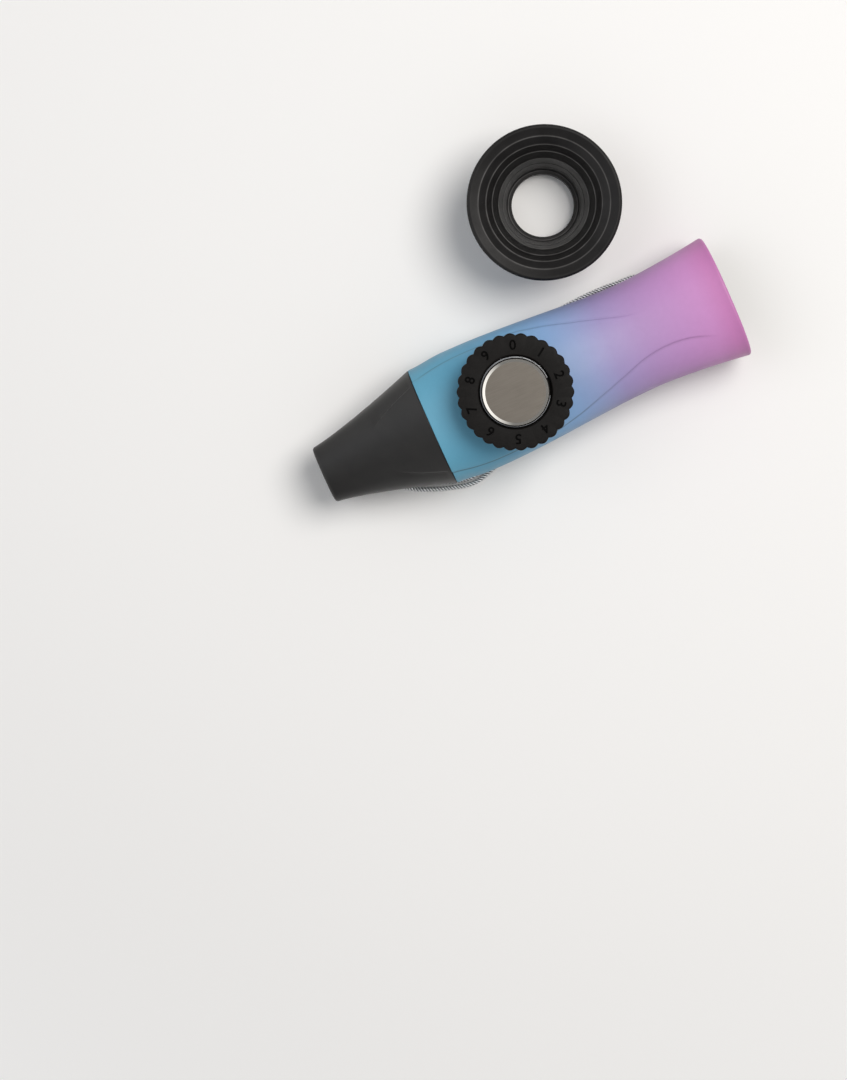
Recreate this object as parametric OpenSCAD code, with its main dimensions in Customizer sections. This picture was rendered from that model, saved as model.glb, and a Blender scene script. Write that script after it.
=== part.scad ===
// Kazoo with a screw tuning knob, a push-fit horn that stands beside it, and a doubled wrist lanyard.
// X runs from the mouthpiece to the flared mouth, and Z is up.
// The origin is on the flat under the belly, below the knob's axis.

/* [Body] */
// Height of the airway's centre line above the flat under the belly
axis_h = 13.5; // [12.75:0.25:13.75]
// Distance from the knob's axis back to the mouthpiece joint
joint_dist = 25.5; // [24:0.5:32]
// Distance from the knob's axis back to the widest part of the belly
belly_dist = 14.5; // [10:0.5:18]
// Distance from the knob's axis forward to the waist
waist_dist = 38; // [32:0.5:44]
// Distance from the knob's axis forward to the flared mouth
mouth_dist = 65.5; // [58:0.5:74]
// Width at the mouthpiece joint
joint_w = 35; // [32:0.2:36]
// Width of the belly
belly_w = 36.6; // [35:0.1:38]
// Width of the waist
waist_w = 31.3; // [28:0.1:34]
// Width of the flared mouth
mouth_w = 36.2; // [33:0.1:38]
// Full depth at the mouthpiece joint, before the flat is cut
joint_t = 28; // [27.6:0.1:30]
// Full depth of the belly, before the flat is cut
belly_t = 28.6; // [28:0.1:30]
// Full depth of the waist
waist_t = 23.6; // [20:0.2:24]
// Full depth of the flared mouth, before the flat is cut
mouth_t = 29; // [28:0.2:31]
// Wall of the body
wall = 1.8; // [1.4:0.1:2.2]
// How square the section is, where 2 is an ellipse
squareness = 2.3; // [2.1:0.05:2.6]

/* [Mouthpiece] */
// Length of the mouthpiece outside the body
mouthpiece_len = 34; // [28:0.5:40]
// Width of the mouthpiece's tip
tip_w = 16.8; // [15:0.2:20]
// Depth of the mouthpiece's tip
tip_t = 10.6; // [9.6:0.2:13]
// Wall of the mouthpiece's tip
tip_wall = 1.9; // [1.5:0.1:2.4]
// Radius of the spigot that goes into the body
spigot_r = 11.95; // [11.2:0.05:12.1]
// Length of the spigot
spigot_len = 12; // [9:0.5:12]
// Wall of the spigot
spigot_wall = 1.9; // [1.6:0.1:2.4]
// Thickness of the seal's cord
seal_d = 1.1; // [1:0.05:1.2]

/* [Turret] */
// Height of the membrane's seat below the crown of the belly
seat_drop = 0.6; // [0.4:0.05:0.8]
// Radius of the opening under the membrane
seat_hole_r = 8.4; // [7.6:0.1:9]
// Radius of the bore that holds the membrane
turret_bore_r = 11.25; // [11.25:0.05:11.5]
// Wall of the turret
turret_wall = 2.15; // [2:0.05:2.4]
// Height of the turret above the seat
turret_h = 6; // [5.6:0.1:6.4]
// Pitch of the screw thread
pitch = 2.4; // [2.2:0.1:2.6]
// Depth of the screw thread
thread_depth = 0.6; // [0.5:0.05:0.65]

/* [Membrane] */
// Radius of the membrane's ring
ring_r = 11.15; // [10.9:0.05:11.15]
// Inner radius of the membrane's ring
ring_hole_r = 8.25; // [7.8:0.05:8.8]
// Thickness of the membrane's ring
ring_t = 0.5; // [0.4:0.05:0.7]
// Thickness of the film
film_t = 0.1; // [0.05:0.01:0.15]
// Thickness of the rubber gasket
gasket_t = 1; // [0.8:0.05:1.2]

/* [Clamp ring] */
// Thickness of the clamp ring's flange
flange_t = 2; // [1.6:0.1:2.4]
// Radius of the spout
spout_r = 8.9; // [8.6:0.05:8.95]
// Wall of the spout
spout_wall = 1.3; // [1.2:0.1:1.6]
// Height of the spout above the flange
spout_h = 7.05; // [6.8:0.05:7.4]
// Width of each of the two keys
key_w = 2; // [1.6:0.1:2.6]
// How far each key stands out from the flange
key_depth = 0.7; // [0.5:0.05:0.75]
// Thickness of the snap ring under the cap
retainer_t = 0.58; // [0.5:0.02:0.7]
// Width of the snap ring's band
retainer_w = 1.45; // [1.2:0.05:1.45]

/* [Knob] */
// Radius over the knob's lobes
knob_r = 16.3; // [16:0.1:17.5]
// Full height of the knob
knob_t = 7.4; // [7.3:0.1:7.8]
// Thickness of the knob's top plate
plate_t = 2.5; // [2.3:0.1:2.7]
// Radius of the hole in the knob's face
knob_hole_r = 10.2; // [10:0.05:10.3]
// Number of lobes round the edge
lobes = 30; // [24:1:36]
// Depth of the notch between two lobes
lobe_depth = 0.55; // [0.4:0.05:0.8]

/* [Cap] */
// Radius of the metal cap
cap_r = 9.5; // [9.4:0.05:9.7]
// Thickness of the cap's metal
cap_wall = 0.55; // [0.4:0.05:0.6]
// Chamfer round the cap's face
cap_chamfer = 0.7; // [0.2:0.05:0.8]
// Thickness of the cap's liner
liner_t = 0.5; // [0.4:0.05:0.8]

/* [Horn] */
// Radius over the horn's rim
horn_rim_r = 21.8; // [19:0.1:23]
// Radius of the horn's throat
horn_throat_r = 10; // [9.8:0.1:10.4]
// Depth from the rim to the end of the throat
horn_depth = 18; // [14:0.5:24]
// Wall of the horn
horn_wall = 1; // [0.8:0.05:1.1]
// Length of the neck that goes over the spout
neck_len = 4.2; // [3.6:0.1:4.3]
// Wall of the neck
neck_wall = 1.15; // [0.9:0.05:1.15]
// Place of the horn along the kazoo
horn_x = 28.9; // [26:0.1:34]
// Place of the horn beside the kazoo
horn_y = 44.8; // [42:0.1:52]

/* [Lanyard] */
// Thickness of the lanyard cord
cord_d = 1.5; // [1.2:0.1:1.5]
// Radius of the crimp behind the lug
crimp_r = 1.75; // [1.7:0.05:1.8]
// Length of the crimp behind the lug
crimp_len = 6; // [4:0.5:8]
// Radius of the hole in the lug
lug_hole_r = 1.65; // [1.6:0.01:1.68]
// Wall of the lug round its hole
lug_wall = 0.8; // [0.6:0.05:0.85]
// Length of the lug along its hole
lug_len = 3; // [2:0.25:4]

/* [Hidden] */

// Clearances and the overrun of every cut
running_gap = 0.05;
slide_gap = 0.1;
face_gap = 0.05;
thread_gap = 0.2;
retainer_gap = 0.12;
knob_lift = 1.1;
shoulder_gap = 0.6;
cut = 1;

// Counts of facets, and the exponents of the body's and the mouthpiece's curves
round_steps = 96;
sides = 48;
body_rings = 28;
mouthpiece_rings = 12;
belly_w_skew = 1.12;
belly_t_skew = 1.6;
flare_w_skew = 1.6;
flare_t_skew = 1.9;
taper_skew = 1.25;

// The rounding of the mouthpiece's tip, its spigot's root inside it, and the seal's place from the joint
lip_round = 0.7;
lip_share = lip_round / mouthpiece_len;
spigot_bore_r = spigot_r - spigot_wall;
spigot_root = 2.5;
root_share = spigot_root / mouthpiece_len;
seal_dist = 7;

// The shoulder round the turret, and the levels up the turret
shoulder_margin = 1.2;
shoulder_flare = 1.6;
shoulder_foot = 3.5;
seat_z = axis_h + belly_t / 2 - seat_drop;
ring_z = seat_z + gasket_t;
film_z = ring_z + ring_t;
flange_z = film_z + film_t + face_gap;
flange_top = flange_z + flange_t;
turret_top = seat_z + turret_h;
turret_r = turret_bore_r + turret_wall;
spout_top = flange_top + spout_h;
knob_z = axis_h + belly_t / 2 + knob_lift;
shoulder_r = turret_r + shoulder_margin;
shoulder_z = knob_z - shoulder_gap;
knob_top = knob_z + knob_t;
plate_z = knob_top - plate_t;
skirt_in_r = turret_r + thread_depth + thread_gap;
sleeve_r = turret_bore_r - thread_gap;
step_z = flange_top + face_gap;
step_t = 2.15;
retainer_z = step_z + step_t + retainer_gap;
groove_depth = 0.6;
film_margin = 0.25;
retainer_angle = 330;
lobe_steps = 6;

// Levels of the cap
cap_in_r = spout_r + running_gap;
liner_z = spout_top + face_gap;
cap_plate_z = liner_z + liner_t;
cap_top = cap_plate_z + cap_wall;
cap_z = retainer_z + retainer_t + thread_gap;

// The screw thread: widths at its root and crest, its rise above the knob's lower edge, and its turns
thread_root_w = 1.1;
thread_crest_w = 0.6;
thread_bite = 0.2;
thread_rise = 1.2;
thread_z = knob_z + thread_rise;
turret_turns = 1.2;
knob_turns = 0.9;
thread_steps = 30;

// The horn's rings, from the rim to the throat, as shares of the flare's width and of its depth
ring_width_shares = [1, 0.79, 0.58, 0.42, 0.25, 0.14, 0.06, 0];
ring_depth_shares = [0, 0.04, 0.13, 0.27, 0.43, 0.65, 0.82, 1];
terrace_width_share = 0.3;
terrace_depth_share = 0.9;
horn_top = neck_len + horn_wall + horn_depth;

// The lug under the body's side, and the cord that leaves it
lug_x = -3;
lug_y = -15.3;
lug_z = 2.5;
lug_web_h = 4.5;
lug_web_w = 3.1;
nose_r = lug_hole_r - running_gap;
crimp_groove = 0.25;
crimp_groove_shares = [0.25, 0.6];
crimp_groove_width_share = 0.15;
cord_sides = 8;
rings_per_span = 2;
cord_route = [
    [-3, -16.08, 2.5], [-8, -16.1, 2.2], [-12, -17.15, 1.4], [-16, -18.95, 0.8], [-22, -20.1, 0.8],
    [-30, -18.15, 0.8], [-38, -14.8, 0.8], [-44, -10, 0.8], [-47.5, -3.6, 0.8], [-47.5, 3.6, 0.8],
    [-43.6, 9.6, 0.8], [-35, 13, 0.8], [-24, 14, 0.8], [0, 14.4, 0.8], [26, 16, 0.8],
    [35, 16.1, 0.8], [39.5, 15.8, 0.8], [44.4, 15.5, 0.8], [47.8, 14, 0.8], [49.2, 10.6, 0.8],
    [47.8, 7.2, 0.8], [44.4, 5.8, 0.8], [39.5, 6.5, 0.8], [35, 8, 0.8], [26, 10.6, 0.8],
    [12, 12.2, 0.8], [-6, 12.3, 0.8], [-24, 12.1, 0.8], [-34, 11.2, 0.8], [-42, 8, 0.8],
    [-45.7, 3, 0.8], [-45.7, -3, 0.8], [-42.6, -8.6, 0.8], [-37, -13, 0.8], [-29.4, -16.45, 0.8],
    [-22, -18.35, 0.8], [-16, -17.1, 0.8], [-12, -15.35, 1.4], [-8, -14.54, 2.2], [-3, -14.52, 2.5]];

function mix(a, b, t) = a + (b - a) * t;
function ease(t) = t * t * (3 - 2 * t);
function signed_power(v, p) = sign(v) * pow(abs(v), p);

// One size of the body at x, eased from the joint over the belly and the waist to the mouth
function along_body(x, joint, belly, waist, mouth, belly_skew, flare_skew) =
    x < -belly_dist ? mix(joint, belly, ease((x + joint_dist) / (joint_dist - belly_dist))) :
    x < waist_dist ?
        mix(belly, waist, ease(pow((x + belly_dist) / (waist_dist + belly_dist), belly_skew))) :
    mix(waist, mouth, pow((x - waist_dist) / (mouth_dist - waist_dist), flare_skew));

function body_half_w(x) =
    along_body(x, joint_w, belly_w, waist_w, mouth_w, belly_w_skew, flare_w_skew) / 2;
function body_half_t(x) =
    along_body(x, joint_t, belly_t, waist_t, mouth_t, belly_t_skew, flare_t_skew) / 2;

// One ring of the rounded-square section at x
function section(x, half_w, half_t) = [for (k = [0:sides - 1]) let (a = 360 * k / sides)
    [x, half_w * signed_power(cos(a), 2 / squareness),
        axis_h + half_t * signed_power(sin(a), 2 / squareness)]];

// Joins rings of points, counted anticlockwise seen from the last ring, into a closed solid
module loft(rings) {
    n = len(rings);
    m = len(rings[0]);
    side_faces = [for (i = [0:n - 2]) for (k = [0:m - 1]) let (j = (k + 1) % m)
        each [[i * m + k, (i + 1) * m + k, (i + 1) * m + j], [i * m + k, (i + 1) * m + j, i * m + j]]];
    polyhedron([for (ring = rings) each ring],
        concat([[for (k = [0:m - 1]) k]], side_faces, [[for (k = [1:m]) n * m - k]]));
}

module body_skin() {
    loft([for (i = [0:body_rings]) let (x = mix(-joint_dist, mouth_dist, i / body_rings))
        section(x, body_half_w(x), body_half_t(x))]);
}

// The shoulder under the knob, which grows out of the body's skin round the turret
module shoulder() {
    translate([0, 0, axis_h + shoulder_foot]) cylinder(r1 = shoulder_r + shoulder_flare, r2 = shoulder_r,
        h = shoulder_z - axis_h - shoulder_foot, $fn = round_steps);
}

// The airway, inside the body's wall
module body_airway() {
    loft([for (i = [0:body_rings]) let (x = mix(spigot_len - joint_dist, mouth_dist + cut, i / body_rings))
        section(x, body_half_w(x) - wall, body_half_t(x) - wall)]);
}

// A helical ridge between two radii, wide at its root in the wall and narrow at its crest
module thread(root_r, crest_r, from_z, turns) {
    steps = round(turns * thread_steps);
    outward = crest_r > root_r;
    inner_w = (outward ? thread_root_w : thread_crest_w) / 2;
    outer_w = (outward ? thread_crest_w : thread_root_w) / 2;
    inner_r = min(root_r, crest_r);
    outer_r = max(root_r, crest_r);
    loft([for (i = [0:steps]) let (a = 360 * i / thread_steps, z = from_z + pitch * i / thread_steps)
        [for (q = [[inner_r, -inner_w], [inner_r, inner_w], [outer_r, outer_w], [outer_r, -outer_w]])
            [q[0] * cos(a), q[0] * sin(a), z + q[1]]]]);
}

// Everything below the plane that the body rests on, over a stretch of its length
module below_rest(from_x, to_x) {
    translate([from_x - cut, -belly_w, -belly_t])
        cube([to_x - from_x + 2 * cut, 2 * belly_w, belly_t]);
}

// A cylinder along the airway's centre line
module airway_cylinder(from_x, radius, length) {
    translate([from_x, 0, axis_h]) rotate([0, 90, 0]) cylinder(r = radius, h = length, $fn = round_steps);
}

// A flat ring round the knob's axis
module washer(from_z, outer_r, inner_r, thickness) {
    translate([0, 0, from_z]) difference() {
        cylinder(r = outer_r, h = thickness, $fn = round_steps);
        translate([0, 0, -cut]) cylinder(r = inner_r, h = thickness + 2 * cut, $fn = round_steps);
    }
}

module lanyard_lug() {
    translate([lug_x, lug_y, lug_z]) rotate([0, 90, 0])
        cylinder(r = lug_hole_r + lug_wall, h = lug_len, $fn = round_steps);
    translate([lug_x, lug_y - lug_web_w / 3, lug_z]) cube([lug_len, lug_web_w, lug_web_h]);
}

module body_shell() {
    color("#7fa3cf")
    difference() {
        union() {
            body_skin();
            shoulder();
            translate([0, 0, axis_h]) cylinder(r = turret_r, h = turret_top - axis_h, $fn = round_steps);
            thread(turret_r - thread_bite, turret_r + thread_depth, thread_z, turret_turns);
            lanyard_lug();
        }
        body_airway();
        airway_cylinder(-joint_dist - cut, spigot_r + running_gap, spigot_len + 2 * cut);
        translate([0, 0, axis_h]) cylinder(r = seat_hole_r, h = belly_t, $fn = round_steps);
        translate([0, 0, seat_z]) cylinder(r = turret_bore_r, h = turret_h + cut, $fn = round_steps);
        for (side = [0, 180]) rotate([0, 0, side])
            translate([0, -key_w / 2 - slide_gap, flange_z - slide_gap])
                cube([ring_r + key_depth + slide_gap, key_w + 2 * slide_gap, turret_h]);
        translate([lug_x - cut, lug_y, lug_z]) rotate([0, 90, 0])
            cylinder(r = lug_hole_r, h = lug_len + 2 * cut, $fn = round_steps);
        below_rest(-joint_dist, mouth_dist);
    }
}

// How far the mouthpiece has tapered at share t of its length
function taper(t) = 1 - pow(1 - min(t, 1), taper_skew);

// A ring of the mouthpiece at share t of its length, from its half sizes at the joint, inset all round
function mouthpiece_ring(t, inset, joint_half_w, joint_half_t) =
    section(-joint_dist - face_gap - t * mouthpiece_len, mix(joint_half_w, tip_w / 2, taper(t)) - inset,
        mix(joint_half_t, tip_t / 2, taper(t)) - inset);

module mouthpiece() {
    stations = concat([[1, lip_round], [1 - lip_share / 3, lip_round / 3]],
        [for (i = [0:mouthpiece_rings]) [(1 - lip_share) * (1 - i / mouthpiece_rings), 0]]);
    airway_r = spigot_bore_r + tip_wall;
    color("#232327")
    difference() {
        union() {
            loft([for (s = stations) mouthpiece_ring(s[0], s[1], joint_w / 2, joint_t / 2)]);
            airway_cylinder(-joint_dist - spigot_root, spigot_r, spigot_len + spigot_root);
        }
        loft([for (i = [0:mouthpiece_rings]) let (t = mix(1 + lip_share, root_share, i / mouthpiece_rings))
            mouthpiece_ring(t, tip_wall, airway_r, airway_r)]);
        airway_cylinder(-joint_dist - spigot_root - cut, spigot_bore_r,
            spigot_len + spigot_root + 2 * cut);
        translate([seal_dist - joint_dist, 0, axis_h]) rotate([0, 90, 0]) rotate_extrude($fn = round_steps)
            translate([spigot_r - seal_d - slide_gap, -seal_d / 2 - slide_gap])
                square([seal_d + cut, seal_d + 2 * slide_gap]);
        below_rest(-joint_dist - mouthpiece_len, -joint_dist);
    }
}

module mouthpiece_seal() {
    color("#3a3a3d")
    translate([seal_dist - joint_dist, 0, axis_h]) rotate([0, 90, 0]) rotate_extrude($fn = round_steps)
        translate([spigot_r + running_gap / 2 - seal_d / 2, 0]) circle(d = seal_d, $fn = sides);
}

module gasket() {
    color("#4a4a4e") washer(seat_z, ring_r - face_gap, seat_hole_r + slide_gap, gasket_t);
}

module membrane_ring() {
    color("#d8d4cc") washer(ring_z, ring_r, ring_hole_r, ring_t);
}

module membrane_film() {
    color("#efe6cf") translate([0, 0, film_z])
        cylinder(r = ring_r - film_margin, h = film_t, $fn = round_steps);
}

module clamp_ring() {
    bore_r = spout_r - spout_wall;
    groove_r = spout_r - groove_depth;
    groove_z = retainer_z - face_gap;
    groove_top = retainer_z + retainer_t + face_gap;
    color("#2a2a2e") {
        rotate_extrude($fn = round_steps) polygon([[bore_r, flange_z], [ring_r, flange_z],
            [ring_r, flange_top], [spout_r, flange_top], [spout_r, groove_z], [groove_r, groove_z],
            [groove_r, groove_top], [spout_r, groove_top], [spout_r, spout_top], [bore_r, spout_top]]);
        for (side = [0, 180]) rotate([0, 0, side]) translate([spout_r, -key_w / 2, flange_z])
            cube([ring_r + key_depth - spout_r, key_w, flange_t]);
    }
}

module knob_retainer() {
    inner_r = spout_r - groove_depth + running_gap;
    color("#b9bcc0") translate([0, 0, retainer_z])
        rotate_extrude(angle = retainer_angle, $fn = round_steps)
            translate([inner_r, 0]) square([retainer_w, retainer_t]);
}

// Radius of the knob's edge at angle a: rounded lobes with sharp notches between them
function knob_edge(a) = knob_r - lobe_depth * (1 - abs(cos(lobes * a / 2)));

module tuning_knob() {
    outline = [for (k = [0:lobes * lobe_steps - 1]) let (a = 360 * k / (lobes * lobe_steps))
        knob_edge(a) * [cos(a), sin(a)]];
    color("#1d1d20") {
        difference() {
            translate([0, 0, knob_z]) linear_extrude(knob_t) polygon(outline);
            rotate_extrude($fn = round_steps) polygon([[0, knob_z - cut], [skirt_in_r, knob_z - cut],
                [skirt_in_r, plate_z], [sleeve_r, plate_z], [sleeve_r, step_z],
                [spout_r + slide_gap, step_z], [spout_r + slide_gap, step_z + step_t],
                [knob_hole_r, step_z + step_t],
                [knob_hole_r, knob_top + cut], [0, knob_top + cut]]);
        }
        thread(skirt_in_r + thread_bite, turret_r + thread_gap, thread_z + pitch / 2, knob_turns);
    }
}

module metal_cap() {
    color("#a39b92") rotate_extrude($fn = round_steps) polygon([[0, cap_top],
        [cap_r - cap_chamfer, cap_top], [cap_r, cap_top - cap_chamfer], [cap_r, cap_z],
        [cap_in_r, cap_z], [cap_in_r, cap_plate_z], [0, cap_plate_z]]);
}

module cap_liner() {
    color("#5a5a5e") translate([0, 0, liner_z])
        cylinder(r = cap_in_r - slide_gap, h = liner_t, $fn = round_steps);
}

module horn() {
    lips = [for (i = [0:len(ring_width_shares) - 1])
        [mix(horn_throat_r, horn_rim_r - horn_wall, ring_width_shares[i]),
            horn_top - horn_depth * ring_depth_shares[i]]];
    last = len(lips) - 1;
    inner = [for (i = [0:last]) each i == last ? [lips[i]] : [lips[i],
        [mix(lips[i + 1][0], lips[i][0], terrace_width_share),
            mix(lips[i][1], lips[i + 1][1], terrace_depth_share)]]];
    outer = [for (i = [len(inner) - 1:-1:0]) inner[i] + [horn_wall, -horn_wall]];
    neck_r = cap_in_r + neck_wall;
    color("#29292b") translate([horn_x, horn_y, 0]) rotate_extrude($fn = round_steps)
        polygon(concat(inner, [[cap_in_r, neck_len + horn_wall], [cap_in_r, 0], [neck_r, 0],
            [neck_r, neck_len]], outer,
            [[horn_rim_r, horn_top - horn_wall / 2], [horn_rim_r - horn_wall / 2, horn_top]]));
}

module lanyard_crimp() {
    start = lug_len + face_gap;
    grooves = [for (share = crimp_groove_shares) let (x = start + share * crimp_len,
        w = crimp_groove_width_share * crimp_len / 2)
        each [[crimp_r, x - w], [crimp_r - crimp_groove, x], [crimp_r, x + w]]];
    color("#c4c6ca") translate([lug_x, lug_y, lug_z]) rotate([0, 90, 0]) rotate_extrude($fn = round_steps)
        polygon(concat([[0, 0], [nose_r, 0], [nose_r, start], [crimp_r, start]], grooves,
            [[crimp_r, start + crimp_len - crimp_groove], [crimp_r - crimp_groove, start + crimp_len],
            [0, start + crimp_len]]));
}

// A point on the smooth curve through four points of the route, t of the way from the second to the third
function curve_point(p, q, r, s, t) =
    (2 * q + (r - p) * t + (2 * p - 5 * q + 4 * r - s) * t * t + (3 * q - p - 3 * r + s) * t * t * t) / 2;

module lanyard_cord() {
    n = len(cord_route) - 1;
    before = 2 * cord_route[0] - cord_route[1];
    after = 2 * cord_route[n] - cord_route[n - 1];
    padded = concat([before], cord_route, [after]);
    line = concat([for (i = [0:n - 1]) for (k = [0:rings_per_span - 1])
        curve_point(padded[i], padded[i + 1], padded[i + 2], padded[i + 3], k / rings_per_span)],
        [cord_route[n]]);
    m = len(line) - 1;
    color("#c9c9c4") loft([for (i = [0:m]) let (ahead = line[min(i + 1, m)] - line[max(i - 1, 0)],
        forward = (i == 0 || i == m ? [ahead[0], 0, 0] : ahead), t = forward / norm(forward),
        across = cross([0, 0, 1], t), side = across / norm(across), up = cross(t, side))
        [for (k = [0:cord_sides - 1]) let (a = 360 * (k + 0.5) / cord_sides)
            line[i] + cord_d / 2 * (cos(a) * side + sin(a) * up)]]);
}

body_shell();
mouthpiece();
mouthpiece_seal();
gasket();
membrane_ring();
membrane_film();
clamp_ring();
knob_retainer();
tuning_knob();
metal_cap();
cap_liner();
horn();
lanyard_crimp();
lanyard_cord();
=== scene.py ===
import math

import bmesh
import bpy
import numpy as np
from mathutils import Matrix, Vector


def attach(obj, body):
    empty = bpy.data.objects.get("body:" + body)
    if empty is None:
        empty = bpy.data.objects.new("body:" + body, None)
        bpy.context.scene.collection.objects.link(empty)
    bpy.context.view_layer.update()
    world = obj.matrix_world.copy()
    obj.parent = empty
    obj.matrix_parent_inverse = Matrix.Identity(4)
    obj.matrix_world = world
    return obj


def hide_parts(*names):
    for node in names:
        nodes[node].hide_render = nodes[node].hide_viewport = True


# Kazoo with a screw tuning knob, a silicone horn beside it and a doubled wrist lanyard.
# Lengths in the dictionaries are millimetres in the part's frame; meshes are metres.

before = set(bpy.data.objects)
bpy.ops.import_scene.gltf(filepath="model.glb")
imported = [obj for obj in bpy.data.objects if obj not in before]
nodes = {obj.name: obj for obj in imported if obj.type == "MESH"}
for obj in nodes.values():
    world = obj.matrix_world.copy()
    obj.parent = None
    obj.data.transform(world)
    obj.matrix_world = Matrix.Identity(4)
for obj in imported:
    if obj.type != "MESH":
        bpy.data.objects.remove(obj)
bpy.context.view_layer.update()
toMetres = 0.001
print("frame loaded:", len(nodes), "nodes")


# Camera, at the photograph's angle

camera = {
    "imageHeight": 1080,        # pixels of the photograph
    "focalPixels": 2675,
    "distance": 780,            # from the rest plane, mm
    "aim": (-41.9, -29.4, 0),   # point of the rest plane at the middle of the picture
    "turn": -24.09,             # degrees the picture's right is turned from +X
    "tiltUp": 4.5,
    "tiltSide": -1.27,
    "sensor": 36,
    "nearest": 0.05, "farthest": 20,    # what it can see, m
}


def makeCamera(setup):
    data = bpy.data.cameras.new("camera")
    data.sensor_width = setup["sensor"]
    data.lens = setup["focalPixels"] / setup["imageHeight"] * setup["sensor"]
    data.clip_start, data.clip_end = setup["nearest"], setup["farthest"]
    turned = (Matrix.Rotation(math.radians(setup["turn"]), 3, "Z")
              @ Matrix.Rotation(math.radians(-setup["tiltSide"]), 3, "Y")
              @ Matrix.Rotation(math.radians(-setup["tiltUp"]), 3, "X"))
    place = (Vector(setup["aim"]) + turned @ Vector((0, 0, setup["distance"]))) * toMetres
    cameraObject = bpy.data.objects.new("camera", data)
    cameraObject.matrix_world = Matrix.Translation(place) @ turned.to_4x4()
    bpy.context.scene.collection.objects.link(cameraObject)
    bpy.context.scene.camera = cameraObject


makeCamera(camera)
bpy.context.scene.view_settings.view_transform = "Standard"
print("camera placed")


# Meshes from grids of points

def ease(t):
    # slow at both ends: three t squared less two t cubed
    return t * t * (3 - 2 * t)


def mix(a, b, t):
    # the share t of the way from a to b
    return a + (b - a) * t


def enclosedVolume(points, quads):
    # sum over the quads of the corner's dot product with the cross product of the quad's diagonals
    a, b, c, d = (points[quads[:, k]] for k in range(4))
    return float(np.einsum("ij,ij->", a, np.cross(c - a, d - b))) / 6


def gridMesh(name, grid, closedAlong=False, capped=True):
    # grid[i, j] is a point in mm: i counts rings, and j counts round each ring, which is closed.
    # Faces are turned over where the volume that they enclose comes out negative.
    rings, across = grid.shape[:2]
    points = grid.reshape(-1, 3)
    index = np.arange(rings * across).reshape(rings, across)
    following = np.roll(index, -1, axis=0) if closedAlong else index[1:]
    start = index if closedAlong else index[:-1]
    quads = np.stack([start, following, np.roll(following, -1, 1), np.roll(start, -1, 1)], -1)
    quads = quads.reshape(-1, 4)
    faces = quads.tolist()
    if capped and not closedAlong:
        faces += [index[0].tolist(), index[-1][::-1].tolist()]
    if enclosedVolume(points - points.mean(0), quads) < 0:
        faces = [face[::-1] for face in faces]
    mesh = bpy.data.meshes.new(name)
    mesh.from_pydata((points * toMetres).tolist(), [], faces)
    mesh.update()
    return mesh


def newPiece(name, mesh):
    piece = bpy.data.objects.new(name, mesh)
    bpy.context.scene.collection.objects.link(piece)
    return piece


def solid(name, grid, closedAlong=False):
    return newPiece(name, gridMesh(name, grid, closedAlong))


def pointAttribute(mesh, name, values):
    # a number at every point, for a material to read
    mesh.attributes.new(name, "FLOAT", "POINT").data.foreach_set("value", values.astype(np.float32).ravel())


def smooth(mesh, degrees):
    # smooth shading, broken at edges sharper than this
    mesh.shade_smooth()
    mesh.set_sharp_from_angle(angle=math.radians(degrees))


def latheGrid(profile, steps, centre=(0, 0), inset=0):
    # The profile's (radius, height) pairs carried round the vertical axis through centre. The inset comes
    # off the radius, and may differ for each pair and each step round.
    turn = np.linspace(0, 2 * math.pi, steps, endpoint=False)
    radius, height = np.asarray(profile, float).T
    grid = np.empty((len(radius), steps, 3))
    grid[..., 0] = centre[0] + (radius[:, None] - inset) * np.cos(turn)
    grid[..., 1] = centre[1] + (radius[:, None] - inset) * np.sin(turn)
    grid[..., 2] = height[:, None]
    return grid


def roundedOutline(corners, steps=5):
    # Each (x, y, cut) corner becomes an arc that touches both of its sides at the distance cut from it.
    # The arc is the rational quadratic curve whose middle weight is the cosine of half the turn.
    corners = np.asarray(corners, float)
    place, cut = corners[:, :2], corners[:, 2:3]
    before, after = np.roll(place, 1, 0) - place, np.roll(place, -1, 0) - place
    before /= np.linalg.norm(before, axis=1, keepdims=True)
    after /= np.linalg.norm(after, axis=1, keepdims=True)
    weight = np.sqrt(np.clip((1 - np.sum(before * after, axis=1)) / 2, 0, 1))[:, None, None]
    t = np.linspace(0, 1, steps)[None, :, None]
    first, middle, last = (1 - t) ** 2, 2 * t * (1 - t) * weight, t ** 2
    start, end = place + before * cut, place + after * cut
    arcs = (first * start[:, None] + middle * place[:, None] + last * end[:, None]) / (first + middle + last)
    arcs = arcs.reshape(-1, 2)
    keep = np.linalg.norm(arcs - np.roll(arcs, 1, 0), axis=1) > 1e-6
    return arcs[keep]


def smoothCurve(points, perSpan):
    # through every point, leaving each along the line between its two neighbours (Catmull-Rom)
    points = np.asarray(points, float)
    padded = np.vstack([2 * points[0] - points[1], points, 2 * points[-1] - points[-2]])
    p, q, r, s = (padded[k:len(padded) - 3 + k, None] for k in range(4))
    t = np.linspace(0, 1, perSpan, endpoint=False)[None, :, None]
    spans = (2 * q + (r - p) * t + (2 * p - 5 * q + 4 * r - s) * t ** 2
             + (3 * q - p - 3 * r + s) * t ** 3) / 2
    return np.vstack([spans.reshape(-1, points.shape[1]), points[-1:]])


def evenlySpaced(line, spacing):
    # the same line with its points a steady step apart
    run = np.r_[0, np.cumsum(np.linalg.norm(np.diff(line, axis=0), axis=1))]
    wanted = np.linspace(0, run[-1], int(round(run[-1] / spacing)) + 1)
    return np.stack([np.interp(wanted, run, line[:, k]) for k in range(line.shape[1])], 1), wanted


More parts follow.
